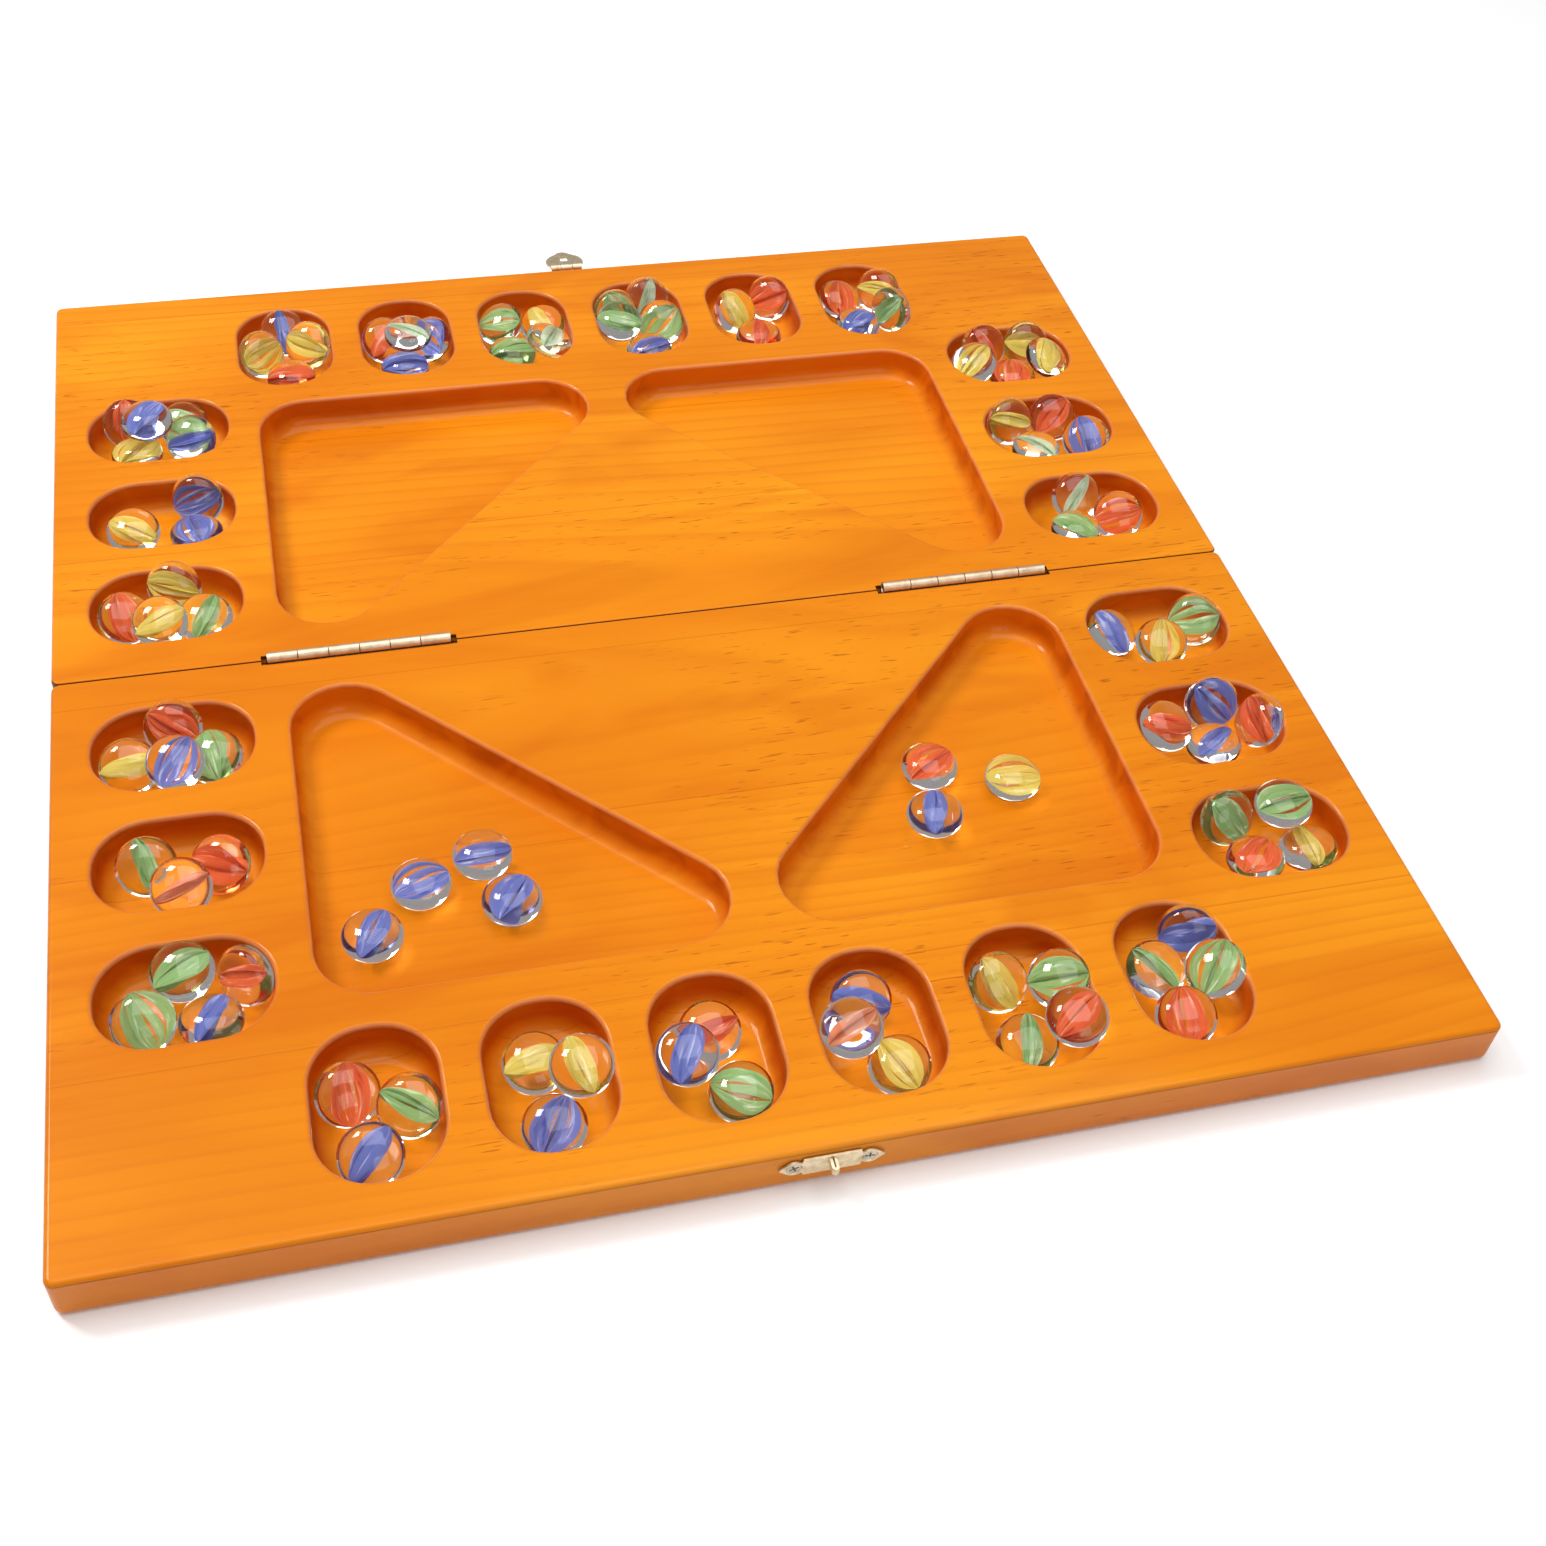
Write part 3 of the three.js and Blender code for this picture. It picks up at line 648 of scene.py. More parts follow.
def stone_profile(angle):
    """(radius, height) of a stone's skin, from -90 degrees at its foot to 90 at its top."""
    c, s = math.cos(angle), math.sin(angle)
    full = (abs(c) ** STONE_FULLNESS + abs(s) ** STONE_FULLNESS) ** (-1 / STONE_FULLNESS)
    return STONE_RADIUS * c * full, STONE_HEIGHT / 2 * s * full


def stone_skin(facets, levels):
    """Rings of points round a stone, with a pole at each end."""
    rings = [[Vector((0, 0, -STONE_HEIGHT / 2))]]
    for level in range(1, levels):
        radius, z = stone_profile(-math.pi / 2 + math.pi * level / levels)
        turns = [2 * math.pi * k / facets for k in range(facets)]
        rings.append([Vector((radius * math.cos(t), radius * math.sin(t), z)) for t in turns])
    return rings + [[Vector((0, 0, STONE_HEIGHT / 2))]]


def skin_faces(rings):
    """Faces between the rings, as indices into all their points in order."""
    faces, start = [], 0
    for ring, above in zip(rings, rings[1:]):
        upper = start + len(ring)
        count = max(len(ring), len(above))
        for k in range(count):
            m = (k + 1) % count
            lower_pair = [start + k, start + m] if len(ring) > 1 else [start]
            upper_pair = [upper + m, upper + k] if len(above) > 1 else [upper]
            faces.append(lower_pair + upper_pair)
        start = upper
    return faces


def add_vane(bm, number, strands, share, roll, camber, offset):
    """A veil of coloured glass along the stone's X axis: strands side by side that meet at both ends.

    share is the veil's half width over the stone's, and offset its distance from the middle. The sines
    of key make each strand a little unlike the next, and the UVs run along it."""
    uv = bm.loops.layers.uv.verify()
    for strand in range(strands):
        key = 2.4 * number + 1.7 * strand
        lane = (2 * strand + 1) / strands - 1 + 0.12 * math.sin(key)
        half_width = (1.06 + 0.14 * math.sin(1.9 * key)) / strands
        rings = []
        for section in range(SECTIONS + 1):
            along = -1 + 2 * section / SECTIONS
            taper = max(0.03, 1 - abs(along) ** 2.4) ** 0.6
            angle = roll + VANE_TWIST * along
            c, s = math.cos(angle), math.sin(angle)
            reach = share * taper / math.hypot(c / STONE_RADIUS, s / (STONE_HEIGHT / 2))
            middle = lane + 0.06 * math.sin(3 * along + key)
            ring = []
            for k in range(STRAND_SIDES):
                t = 2 * math.pi * k / STRAND_SIDES
                lateral = middle + half_width * math.cos(t)
                out = (STRAND_THICK / 2 * math.sin(t) + offset + camber * (lateral ** 2 - 0.4)) * taper
                across = reach * lateral
                ring.append(bm.verts.new(
                    (along * STONE_RADIUS * STRAND_REACH, across * c - out * s, across * s + out * c)))
            rings.append(ring)
        faces = []
        for j, (ring, after) in enumerate(zip(rings, rings[1:])):
            for k in range(STRAND_SIDES):
                m = (k + 1) % STRAND_SIDES
                face = bm.faces.new((ring[k], ring[m], after[m], after[k]))
                corners = (j, k), (j, k + 1), (j + 1, k + 1), (j + 1, k)
                for loop, (u, v) in zip(face.loops, corners):
                    width = abs(1 - 2 * v / STRAND_SIDES)
                    loop[uv].uv = (u / SECTIONS + number * 0.37, 0.5 * width + 0.83 * key)
                faces.append(face)
        faces += [bm.faces.new(rings[0]), bm.faces.new(rings[-1])]
        for face in faces:
            face.material_index = 1


# The veils in each kind of stone: number of strands, share, roll in degrees, camber and offset in mm.
CORES = (
    ((4, 0.62, 8, 0.9, 0.3), (2, 0.32, 95, 0.3, 0.0)),
    ((2, 0.42, -14, -0.8, 0.9), (2, 0.36, 25, 0.9, -1.3)),
    ((5, 0.68, 12, 0.8, 0.2),),
    ((2, 0.38, 30, 0.6, 0.8), (1, 0.30, -35, 0.6, -0.9)),
    ((3, 0.50, -6, 1.3, 1.2), (2, 0.34, 20, -1.0, -1.4)),
)
PALE_CORES = (
    ((2, 0.34, 12, 0.5, 0.6), (1, 0.3, 70, 0.3, 0.2)),
    ((2, 0.30, -30, 0.4, -0.8), (1, 0.3, 50, 0.3, 0.9)),
)
# The pale, middle and deep tone of each colour of veil.
VANE_TONES = {
    "blue": ((0.64, 0.66, 0.90), (0.18, 0.21, 0.56), (0.07, 0.09, 0.38)),
    "red": ((0.98, 0.54, 0.34), (0.78, 0.14, 0.04), (0.52, 0.038, 0.012)),
    "yellow": ((0.96, 0.88, 0.48), (0.76, 0.60, 0.12), (0.54, 0.38, 0.04)),
    "green": ((0.78, 0.88, 0.62), (0.32, 0.50, 0.19), (0.11, 0.29, 0.07)),
    "clear": ((0.86, 0.86, 0.82), (0.56, 0.69, 0.48), (0.32, 0.45, 0.17)),
    "clear_red": ((0.86, 0.66, 0.55), (0.72, 0.26, 0.13), (0.58, 0.11, 0.05)),
}


class Stones:
    """Makes the stones and sets them down one by one."""

    def __init__(self):
        self.count = 0
        self.glass = clear_glass()
        self.vanes = {name: vane_glass(name + "_vanes", *tones) for name, tones in VANE_TONES.items()}
        rings = stone_skin(HULL_FACETS, HULL_LEVELS)
        self.hull = [point * HULL_SWELL for ring in rings for point in ring]
        self.hull_faces = skin_faces(rings)

    def tree(self, matrix):
        return BVHTree.FromPolygons([matrix @ point for point in self.hull], self.hull_faces)

    def add(self, name, colour, matrix, body):
        self.count += 1
        bm = bmesh.new()
        rings = stone_skin(STONE_FACETS, STONE_LEVELS)
        verts = [bm.verts.new(point) for ring in rings for point in ring]
        for face in skin_faces(rings):
            bm.faces.new([verts[i] for i in face])
        cores = PALE_CORES if colour.startswith("clear") else CORES
        size = 0.86 + 0.07 * (self.count * 7 % 4)
        for strands, share, roll, camber, offset in cores[self.count % len(cores)]:
            add_vane(bm, self.count, strands, share * size, math.radians(roll), camber, offset)
        bm.transform(matrix)
        piece = finish_mesh(name, bm, [self.glass, self.vanes[colour]], sharp=50)
        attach(piece, body)
        return piece

    def free(self, place, turn, fixed):
        """Whether a stone there touches none of the fixed shapes."""
        tree = self.tree(Matrix.Translation(place) @ turn.to_matrix().to_4x4())
        return not any(tree.overlap(other) for other in fixed)

    def settle(self, place, turn, fixed):
        """Lowers a stone, letting it slide and tip a little, until nothing gives."""
        first_place, first_turn = place.copy(), turn.copy()
        while self.free(place - Vector((0, 0, FAST_STEP)), turn, fixed):
            place = place - Vector((0, 0, FAST_STEP))
        down = Vector((0, 0, -DROP_STEP))
        slides = [Vector((math.cos(a), math.sin(a), 0)) * SLIDE_STEP for a in compass_points(8)]
        tips = [Quaternion((math.cos(a), math.sin(a), 0), TIP_STEP) for a in compass_points(4)]
        moves = [(down, Quaternion())]
        moves += [(down + slide, Quaternion()) for slide in slides]
        moves += [(down, tip) for tip in tips]
        moves += [(down + slide, tip) for slide in slides[::2] for tip in tips]
        moved = True
        while moved:
            moved = False
            for step, tip in moves:
                next_place, next_turn = place + step, tip @ turn
                if (next_place - first_place).xy.length > MOST_SLIDE:
                    continue
                if next_turn.rotation_difference(first_turn).angle > MOST_TIP:
                    continue
                if self.free(next_place, next_turn, fixed):
                    place, turn, moved = next_place, next_turn, True
                    break
        return Matrix.Translation(place) @ turn.to_matrix().to_4x4()

    def set_down(self, x, y, tilt, toward, spin, fixed):
        """Sets a stone down near (x, y), trying other starts while it stands too high."""
        compass = math.radians(toward)
        lean_axis = Vector((-math.sin(compass), math.cos(compass), 0))
        starts = [(0, 0, 1)]
        starts += [
            (slide * math.cos(a), slide * math.sin(a), share)
            for slide in TRY_SLIDES for share in (0.5, 1.0, 1.4) for a in compass_points(6)
        ]
        best, lowest = None, math.inf
        for dx, dy, share in starts:
            turn = Quaternion(lean_axis, math.radians(tilt * share)) @ Quaternion((0, 0, 1), spin)
            matrix = self.settle(Vector((x + dx, y + dy, DROP_FROM)), turn, fixed)
            height = max((matrix @ point).z for point in self.hull)
            if height < lowest:
                best, lowest = matrix, height
            if lowest < TOP + HIGH_STONE:
                break
        return best


def compass_points(count):
    return [2 * math.pi * k / count for k in range(count)]


def hollow_tree(corners, radius):
    """A pit's surface, for the contact tests."""
    loops = hollow_loops(corners, radius)
    count = len(loops[0])
    points = [point for loop in loops for point in loop]
    faces = []
    for start in range(0, len(points) - count, count):
        for k in range(count):
            m = (k + 1) % count
            faces.append((start + k, start + m, start + count + m, start + count + k))
    faces.append(tuple(range(len(points) - count, len(points))))
    return BVHTree.FromPolygons(points, faces)


def add_stones():
    stones = Stones()
    for name, pile in PILES.items():
        pit = pits[name]
        fixed = [hollow_tree(pit_corners(pit), PIT_CORNER)]
        for number, (colour, x, y, tilt, toward) in enumerate(pile, 1):
            spin = math.radians(SPIN_STEP * stones.count % 180)
            matrix = stones.set_down(pit["x"] + x, pit["y"] + y, tilt, toward, spin, fixed)
            fixed.append(stones.tree(matrix))
            stones.add(f"{name}_stone_{number}", colour, matrix, name.split("_")[0] + "_half")
    for name, (colour, spin) in TRAY_STONES.items():
        middle = (corner_mm(name, 0) + corner_mm(name, 1)) / 2
        middle.z = FLOOR_Z + STONE_HEIGHT / 2 + TRAY_CLEARANCE
        matrix = Matrix.Translation(middle) @ Matrix.Rotation(math.radians(spin), 4, "Z")
        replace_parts(stones.add(name + "_glass", colour, matrix, name), name)


# ---- brass fittings

KNUCKLES = 6
KNUCKLE_GAP = 0.3
BARREL_R = 1.75
BARREL_BORE = 1.1
LEAF_THICK = 0.9
LEAF_TOP = -2.1         # heights from the pins' axis
LEAF_BOTTOM = -12.3
LEAF_CORNER = 1.0
LEAF_SCREW_Z = -7.6
LEAF_SCREW_PITCH = 19
WEB_INSET = 0.2         # the webs join the knuckles to the leaf
WEB_Z = -1.85
WEB_HALF_HEIGHT = 0.95
HINGE_PIN_R = 0.8

PLATE_THICK = 0.7
PLATE_OFF = 0.2         # from the wood to the plate's back
PLATE_BODY_X = 7.6
PLATE_BODY_Z = 3.35
PLATE_LOBE_X = 10
PLATE_LOBE_R = 2.8
PLATE_NECK_Z = 2
PLATE_TIP_X = 14.15
PLATE_Z = 9
TONGUE_WIDTH = 2.1
TONGUE_HEIGHT = 2.6
TONGUE_REACH = 3.8
TONGUE_Z = 10.1
TONGUE_FOLD = 0.3
TONGUE_LAP = 0.1        # into the plate
NECK_LAP = 0.4
NECK_INSET = 0.15

HASP_AXIS_Z = 14.8
HASP_AXIS_OUT = 1.5
HASP_BARREL_R = 1.3
HASP_BORE = 0.8
HASP_PIN_R = 0.5
HASP_REST = -98         # degrees from upright
FLAP_RADIUS = 7.25
FLAP_CENTRE = 4.7
FLAP_BASE_X = 5.9
FLAP_TAB_X = 2.9
FLAP_TIP = 13.5
FLAP_TAB_START = 26     # degrees
FLAP_SHOULDER = 8.6     # degrees from the tab's side to where the disc ends
FLAP_INNER = -0.25
FLAP_ROOM_X = 2.4       # the gap in the flap's base for the plate's knuckle
FLAP_ROOM_Z = 1.6
SLOT_NEAR = 5.05
SLOT_FAR = 8.85
SLOT_HALF = 1.45
SLOT_CORNER = 0.35
CENTRE_KNUCKLE = 2.1

SCREW_HEAD_R = 2
SCREW_SHANK_R = 0.9
SCREW_LENGTH = 9
SCREW_TIP_R = 0.15
HEAD_EASE = 0.12
HEAD_EDGE = 0.08
RECESS_LONG = 1.35
RECESS_WIDE = 0.28
RECESS_DEEP = 0.9
RECESS_TAPER = 0.6      # its floor over its mouth
TURNED_FACETS = 28
ARC_STEPS = 12
DISC_STEPS = 16
HOLE_FRONT = 2.3        # radii of a countersunk hole in sheet metal
HOLE_BACK = 1.6
HOLE_SIDES = 24
SHEET_EASE = 0.14
SHY = 0.04              # keeps two overlapping sheets' faces apart


def arc(x, y, radius, start, end, steps):
    angles = [math.radians(start + (end - start) * k / steps) for k in range(steps + 1)]
    return [(x + radius * math.cos(a), y + radius * math.sin(a)) for a in angles]


def countersunk(x, y):
    """The front and back loops of a screw's hole."""
    last = 360 - 360 / HOLE_SIDES
    return tuple(arc(x, y, radius, 0, last, HOLE_SIDES - 1) for radius in (HOLE_FRONT, HOLE_BACK))


def inset(loop, distance):
    """The loop, given anticlockwise, moved inwards."""
    moved = []
    for i, point in enumerate(loop):
        point = Vector(point)
        first = (point - Vector(loop[i - 1])).normalized()
        second = (Vector(loop[(i + 1) % len(loop)]) - point).normalized()
        normal = Vector((-first.y - second.y, first.x + second.x))
        moved.append(point + normal * distance / max(0.4, 1 + first.dot(second)))
    return moved


def fill(bm, rings, normal):
    """Fills the flat face between an outer ring and the rings of its holes."""
    edges = [bm.edges.get((ring[k - 1], ring[k])) for ring in rings for k in range(len(ring))]
    bmesh.ops.triangle_fill(bm, use_beauty=True, edges=edges, normal=normal)


def add_sheet(bm, outline, thickness, place, holes=(), ease=SHEET_EASE):
    """Sheet metal with rounded edges. The outline and the (front, back) holes are loops of (u, v),
    anticlockwise, and place turns (u, v, w) into a point, with w from 0 to the thickness in front."""
    def ring_at(loop, w):
        return [bm.verts.new(place(u, v, w)) for u, v in loop]

    small = inset(outline, ease)
    rings = [
        ring_at(small, 0), ring_at(outline, ease),
        ring_at(outline, thickness - ease), ring_at(small, thickness),
    ]
    for ring, next_ring in zip(rings, rings[1:]):
        bridge(bm, ring, next_ring)
    fronts, backs = [rings[-1]], [rings[0]]
    for front, back in holes:
        fronts.append(ring_at(front, thickness))
        backs.append(ring_at(back, 0))
        bridge(bm, fronts[-1], backs[-1])
    normal = Vector(place(0, 0, 1)) - Vector(place(0, 0, 0))
    fill(bm, fronts, normal)
    fill(bm, backs, -normal)


def turned_rings(bm, profile, place):
    """The side of a turned body, from (distance along its axis, radius) points; place sets each one."""
    turns = [2 * math.pi * k / TURNED_FACETS for k in range(TURNED_FACETS)]
    rings = [
        [bm.verts.new(place(along, radius * math.cos(t), radius * math.sin(t))) for t in turns]
        for along, radius in profile
    ]
    for ring, next_ring in zip(rings, rings[1:]):
        bridge(bm, ring, next_ring)
    return rings


def add_tube(bm, profile, place):
    """A turned body whose profile ends where it starts."""
    rings = turned_rings(bm, profile, place)
    bridge(bm, rings[-1], rings[0])


def add_rod(bm, profile, place):
    """A turned body with flat ends."""
    rings = turned_rings(bm, profile, place)
    bm.faces.new(rings[0])
    bm.faces.new(rings[-1])


def knuckle(start, end, radius, bore, ease=0.22):
    """The profile of a rolled knuckle's tube, its ends rounded over."""
    ends = [(ease * (1 - s), radius - ease * (1 - c)) for s, c in quarter(3)][::-1]
    profile = [(start, bore)] + [(start + ease - a, r) for a, r in ends]
    return profile + [(end - ease + a, r) for a, r in ends[::-1]] + [(end, bore)]


def pin(start, end, radius, dome=0.25):
    """The profile of a pin, its ends rounded over."""
    ends = [(dome * s, radius - dome * (1 - c)) for s, c in quarter(3)]
    return [(start + dome - a, r) for a, r in ends[::-1]] + [(end - dome + a, r) for a, r in ends]


def add_fitting(name, bm, material, node):
    piece = finish_mesh(name, bm, [material], sharp=32)
    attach(piece, fitting_body(node))
    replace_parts(piece, node)


def fitting_body(node):
    """The body that a fitting's CAD node moves with."""
    if node in ("hasp_flap", "hasp_pin"):
        return "hasp"
    return "near_half" if "near" in node or "catch" in node else "far_half"


def fold_pivot(along, across, up):
    """A point given from the middle of the fold's axis."""
    return (along, SEAM_Y + across, FOLD_Z + up)


def hinge_leaf(name, x, side, material):
    """A leaf in its mortise, with every other knuckle and the webs between them and the sheet."""
    half = HINGE_LENGTH / 2
    pitch = HINGE_LENGTH / KNUCKLES
    front = SEAM_Y + side * HALF_GAP

    def on_leaf(u, v, w):
        return (x + u, front + side * (LEAF_THICK - w), FOLD_Z + v)

    def on_pin(along, across, up):
        return fold_pivot(x + along, across, up)

    bm = bmesh.new()
    holes = [countersunk(i * LEAF_SCREW_PITCH, LEAF_SCREW_Z) for i in (-1, 0, 1)]
    core = rectangle(0, (LEAF_TOP + LEAF_BOTTOM) / 2, half - LEAF_CORNER,
                     (LEAF_TOP - LEAF_BOTTOM) / 2 - LEAF_CORNER)
    add_sheet(bm, rounded_loop(core, LEAF_CORNER, 5), LEAF_THICK, on_leaf, holes)
    for i in range(0 if side < 0 else 1, KNUCKLES, 2):
        start = -half + i * pitch + KNUCKLE_GAP / 2
        end = start + pitch - KNUCKLE_GAP
        add_tube(bm, knuckle(start, end, BARREL_R, BARREL_BORE), on_pin)
        web = rectangle((start + end) / 2, WEB_Z, (end - start) / 2 - WEB_INSET, WEB_HALF_HEIGHT)
        add_sheet(bm, web, LEAF_THICK - 2 * SHY, lambda u, v, w: on_leaf(u, v, w + SHY))
    add_fitting(name + "_brass", bm, material, name)


def plate_outline():
    """Round lobes for the screws on a straight body, and a point at each end."""
    tangent = math.degrees(math.acos(PLATE_LOBE_R / (PLATE_TIP_X - PLATE_LOBE_X)))
    neck = 180 - math.degrees(math.asin(PLATE_NECK_Z / PLATE_LOBE_R))
    right = [(PLATE_BODY_X, -PLATE_BODY_Z)]
    right += arc(PLATE_LOBE_X, 0, PLATE_LOBE_R, -neck, -tangent, ARC_STEPS)
    right += [(PLATE_TIP_X, 0)]
    right += arc(PLATE_LOBE_X, 0, PLATE_LOBE_R, tangent, neck, ARC_STEPS)
    right += [(PLATE_BODY_X, PLATE_BODY_Z)]
    return right + [(-u, -v) for u, v in right]


def add_plate(bm, side):
    """The plate on the board's outer edge. Returns the Y of its back."""
    back = SEAM_Y + side * (HALF_GAP + HALF_DEPTH + PLATE_OFF)
    holes = [countersunk(u, 0) for u in (-PLATE_LOBE_X, PLATE_LOBE_X)]

    def on_plate(u, v, w):
        return (u, back + side * w, PLATE_Z + v)

    add_sheet(bm, plate_outline(), PLATE_THICK, on_plate, holes)
    return back


def catch(material):
    """The near half's plate, with a tongue folded double out of the sheet."""
    bm = bmesh.new()
    root = add_plate(bm, -1) - PLATE_THICK + TONGUE_LAP
    half, slit = TONGUE_WIDTH / 2, TONGUE_FOLD / 2
    straight = TONGUE_REACH - half
    outline = [(slit, 0), (half, 0)] + arc(0, straight, half, 0, 180, ARC_STEPS)
    outline += [(-half, 0), (-slit, 0)] + arc(0, straight, slit, 180, 0, 6)

    def on_tongue(u, v, w):
        return (u, root - v, TONGUE_Z - TONGUE_HEIGHT / 2 + w)

    add_sheet(bm, outline, TONGUE_HEIGHT, on_tongue, ease=0.1)
    add_fitting("catch", bm, material, "catch_plate")


def hasp_pivot(along, across, up):
    """A point given from the middle of the flap's pin."""
    return (along, SEAM_Y + HALF_GAP + HALF_DEPTH + HASP_AXIS_OUT + across, HASP_AXIS_Z + up)


def hasp(material):
    """The far half's plate, with a knuckle for the flap's pin."""
    bm = bmesh.new()
    back = add_plate(bm, 1)
    low = PLATE_Z + PLATE_BODY_Z - NECK_LAP
    neck = rectangle(0, (low + HASP_AXIS_Z) / 2, CENTRE_KNUCKLE - NECK_INSET, (HASP_AXIS_Z - low) / 2)
    add_sheet(bm, neck, PLATE_THICK - 2 * SHY, lambda u, v, w: (u, back + w + SHY, v))
    profile = knuckle(-CENTRE_KNUCKLE, CENTRE_KNUCKLE, HASP_BARREL_R, HASP_BORE)
    add_tube(bm, profile, hasp_pivot)
    add_fitting("hasp_mount", bm, material, "hasp_plate")


def flap_outline():
    """A disc cut straight at its base, with a small round tab at its tip, from the pin's axis up."""
    rise = FLAP_CENTRE - math.sqrt(FLAP_RADIUS ** 2 - FLAP_BASE_X ** 2)
    start = math.degrees(math.atan2(rise - FLAP_CENTRE, FLAP_BASE_X))
    shoulder = math.degrees(math.acos(FLAP_TAB_X / FLAP_RADIUS)) - FLAP_SHOULDER
    loop = [(FLAP_ROOM_X, FLAP_ROOM_Z), (FLAP_ROOM_X, 0), (FLAP_BASE_X, 0)]
    loop += arc(0, FLAP_CENTRE, FLAP_RADIUS, start, shoulder, DISC_STEPS)
    tab = FLAP_TIP - FLAP_TAB_X
    loop += arc(0, tab, FLAP_TAB_X, FLAP_TAB_START, 180 - FLAP_TAB_START, ARC_STEPS)
    loop += arc(0, FLAP_CENTRE, FLAP_RADIUS, 180 - shoulder, 180 - start, DISC_STEPS)
    return loop + [(-FLAP_BASE_X, 0), (-FLAP_ROOM_X, 0), (-FLAP_ROOM_X, FLAP_ROOM_Z)]


def flap(material):
    """The slotted flap with its two knuckles, lying outwards from the edge."""
    turn = Matrix.Rotation(math.radians(HASP_REST), 3, "X")

    def at_rest(x, y, z):
        return hasp_pivot(*(turn @ Vector((x, y, z))))

    def on_flap(u, v, w):
        return at_rest(u, FLAP_INNER + w, v)

    bm = bmesh.new()
    middle = (SLOT_NEAR + SLOT_FAR) / 2
    core = rectangle(0, middle, SLOT_HALF - SLOT_CORNER, (SLOT_FAR - SLOT_NEAR) / 2 - SLOT_CORNER)
    slot = rounded_loop(core, SLOT_CORNER, 3)
    add_sheet(bm, flap_outline(), PLATE_THICK, on_flap, [(slot, slot)])
    for start, end in ((-FLAP_BASE_X, -FLAP_ROOM_X), (FLAP_ROOM_X, FLAP_BASE_X)):
        add_tube(bm, knuckle(start, end, HASP_BARREL_R, HASP_BORE), at_rest)
    add_fitting("flap", bm, material, "hasp_flap")


def screw(node, material, spin):
    """A countersunk screw with a cross recess, its head's face towards the metal's outside."""
    out = 1 if "near" in node or "hasp" in node else -1
    low, high = corner_mm(node, 0), corner_mm(node, 1)
    face = high.y if out > 0 else low.y
    c, s = math.cos(spin), math.sin(spin)

    def place(along, across, up):
        return ((low.x + high.x) / 2 + across * c - up * s, face - out * along,
                (low.z + high.z) / 2 + across * s + up * c)

    cone = SCREW_HEAD_R - SCREW_SHANK_R
    point = 2 * SCREW_SHANK_R
    profile = [
        (0, SCREW_HEAD_R - HEAD_EASE), (HEAD_EDGE, SCREW_HEAD_R), (cone, SCREW_SHANK_R),
        (SCREW_LENGTH - point, SCREW_SHANK_R), (SCREW_LENGTH, SCREW_TIP_R),
    ]
    bm = bmesh.new()
    rings = turned_rings(bm, profile, place)
    bm.faces.new(rings[-1])
    a, b = RECESS_LONG, RECESS_WIDE
    cross = [(a, b), (b, b), (b, a), (-b, a), (-b, b), (-a, b),
             (-a, -b), (-b, -b), (-b, -a), (b, -a), (b, -b), (a, -b)]
    brim = [bm.verts.new(place(0, u, v)) for u, v in cross]
    recess_floor = [
        bm.verts.new(place(RECESS_DEEP, RECESS_TAPER * u, RECESS_TAPER * v)) for u, v in cross
    ]
    bridge(bm, brim, recess_floor)
    bm.faces.new(recess_floor)
    fill(bm, [rings[0], brim], Vector((0, out, 0)))
    add_fitting(node + "_steel", bm, material, node)


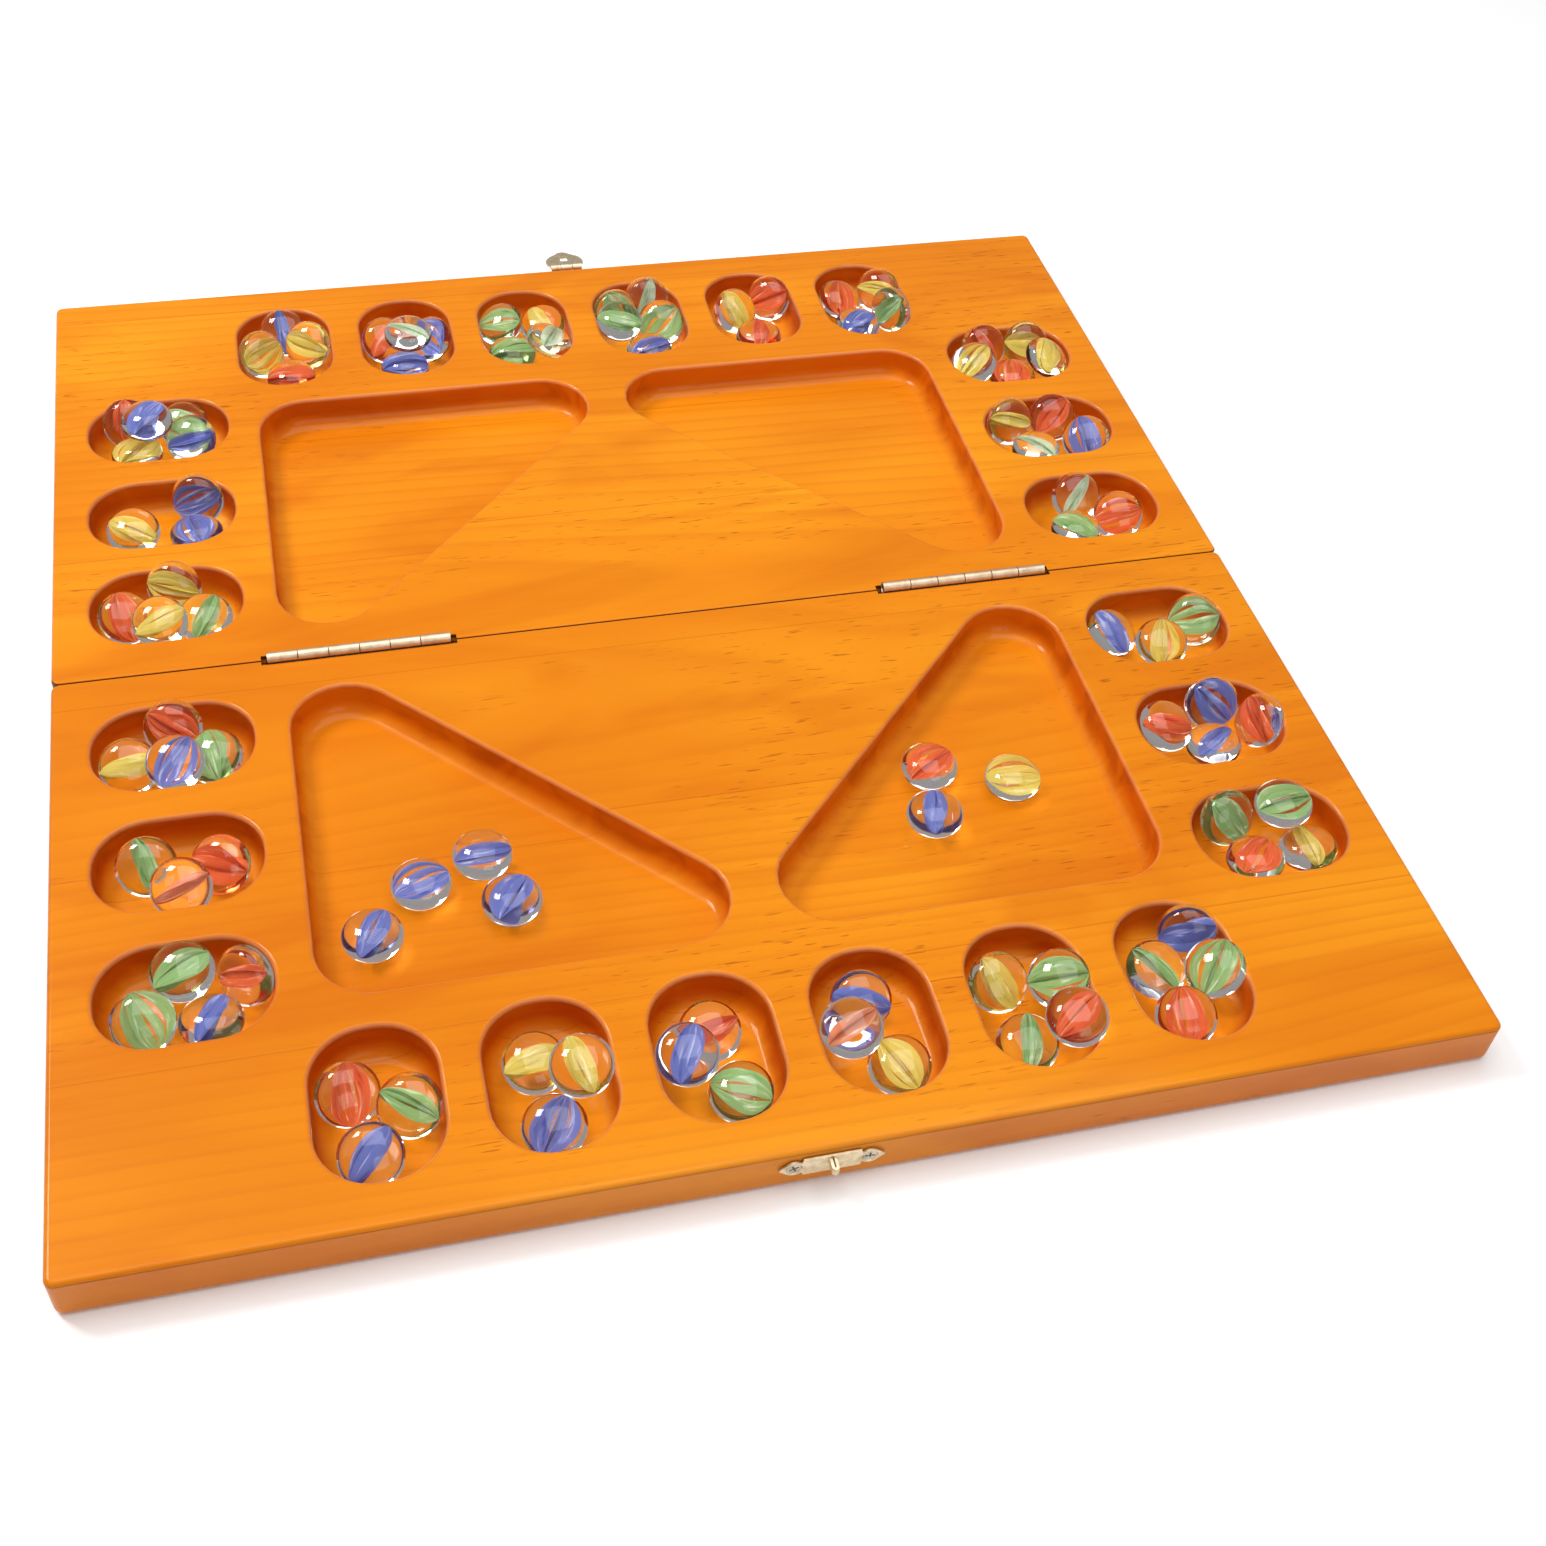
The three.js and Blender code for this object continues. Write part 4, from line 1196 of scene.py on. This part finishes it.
def add_fittings():
    brass = metal("pale_brass", (0.82, 0.70, 0.49), (0.60, 0.47, 0.30), 0.40)
    barrels = metal("hinge_brass", (0.78, 0.61, 0.43), (0.60, 0.44, 0.30), 0.42)
    # painted shade: the hinge pins are made near black so that the gaps between the knuckles look
    # shaded
    shaded_pin_metal = metal("hinge_pin_steel", (0.16, 0.10, 0.06), (0.08, 0.05, 0.03), 0.5)
    steel = metal("screw_steel", (0.66, 0.60, 0.48), (0.36, 0.31, 0.23), 0.3)
    for end, x in (("left", -HINGE_X), ("right", HINGE_X)):
        hinge_leaf(end + "_hinge_near_leaf", x, -1, barrels)
        hinge_leaf(end + "_hinge_far_leaf", x, 1, barrels)
        bm = bmesh.new()
        low, high = corner_mm(end + "_hinge_pin", 0), corner_mm(end + "_hinge_pin", 1)
        add_rod(bm, pin(low.x, high.x, HINGE_PIN_R), fold_pivot)
        add_fitting(end + "_hinge_pin_steel", bm, shaded_pin_metal, end + "_hinge_pin")
    catch(brass)
    hasp(brass)
    flap(brass)
    bm = bmesh.new()
    low, high = corner_mm("hasp_pin", 0), corner_mm("hasp_pin", 1)
    add_rod(bm, pin(low.x, high.x, HASP_PIN_R, dome=0.15), hasp_pivot)
    add_fitting("hasp_pin_steel", bm, steel, "hasp_pin")
    screws = sorted(node for node in frame["nodes"] if "screw" in node)
    for number, node in enumerate(screws):
        screw(node, steel, 0.4 + 1.1 * number)


# ---- stage

FLOOR_SIZE = 6          # metres
SKY_STRENGTH = 0.3
LAMPS = (               # place and size in metres, power in watts; all look at the board
    ("window", (-0.75, 0.5, 1.15), 0.4, 12),
    ("overhead", (0.1, 0.0, 1.5), 1.3, 17),
    ("front", (0.3, -1.4, 0.9), 0.9, 5.5),
)


def add_stage():
    bpy.ops.mesh.primitive_plane_add(size=FLOOR_SIZE, location=(0, 0, 0))
    floor = bpy.context.object
    floor.name = "floor"
    floor.data.materials.append(floor_material())
    world = bpy.data.worlds.new("studio")
    world.use_nodes = True
    sky = world.node_tree.nodes["Background"]
    sky.inputs["Color"].default_value = (1, 1, 1, 1)
    sky.inputs["Strength"].default_value = SKY_STRENGTH
    scene.world = world
    for name, place, size, power in LAMPS:
        data = bpy.data.lights.new(name, "AREA")
        data.energy = power
        data.size = size
        lamp = bpy.data.objects.new(name, data)
        lamp.location = place
        lamp.rotation_euler = (-Vector(place)).to_track_quat("-Z", "Y").to_euler()
        scene.collection.objects.link(lamp)
    scene.view_settings.view_transform = "Standard"


add_camera()
add_stage()
for half, side, seed in (("near", -1, 3.0), ("far", 1, 11.0)):
    faces = pine(half + "_pine", seed, *FACES)
    in_pits = pine(half + "_pine_in_pits", seed, *IN_PITS)
    in_trays = pine(half + "_pine_in_trays", seed, *IN_TRAYS)
    add_board(half + "_board", side, [faces, in_pits, in_trays])

add_stones()
add_fittings()

bpy.context.view_layer.update()
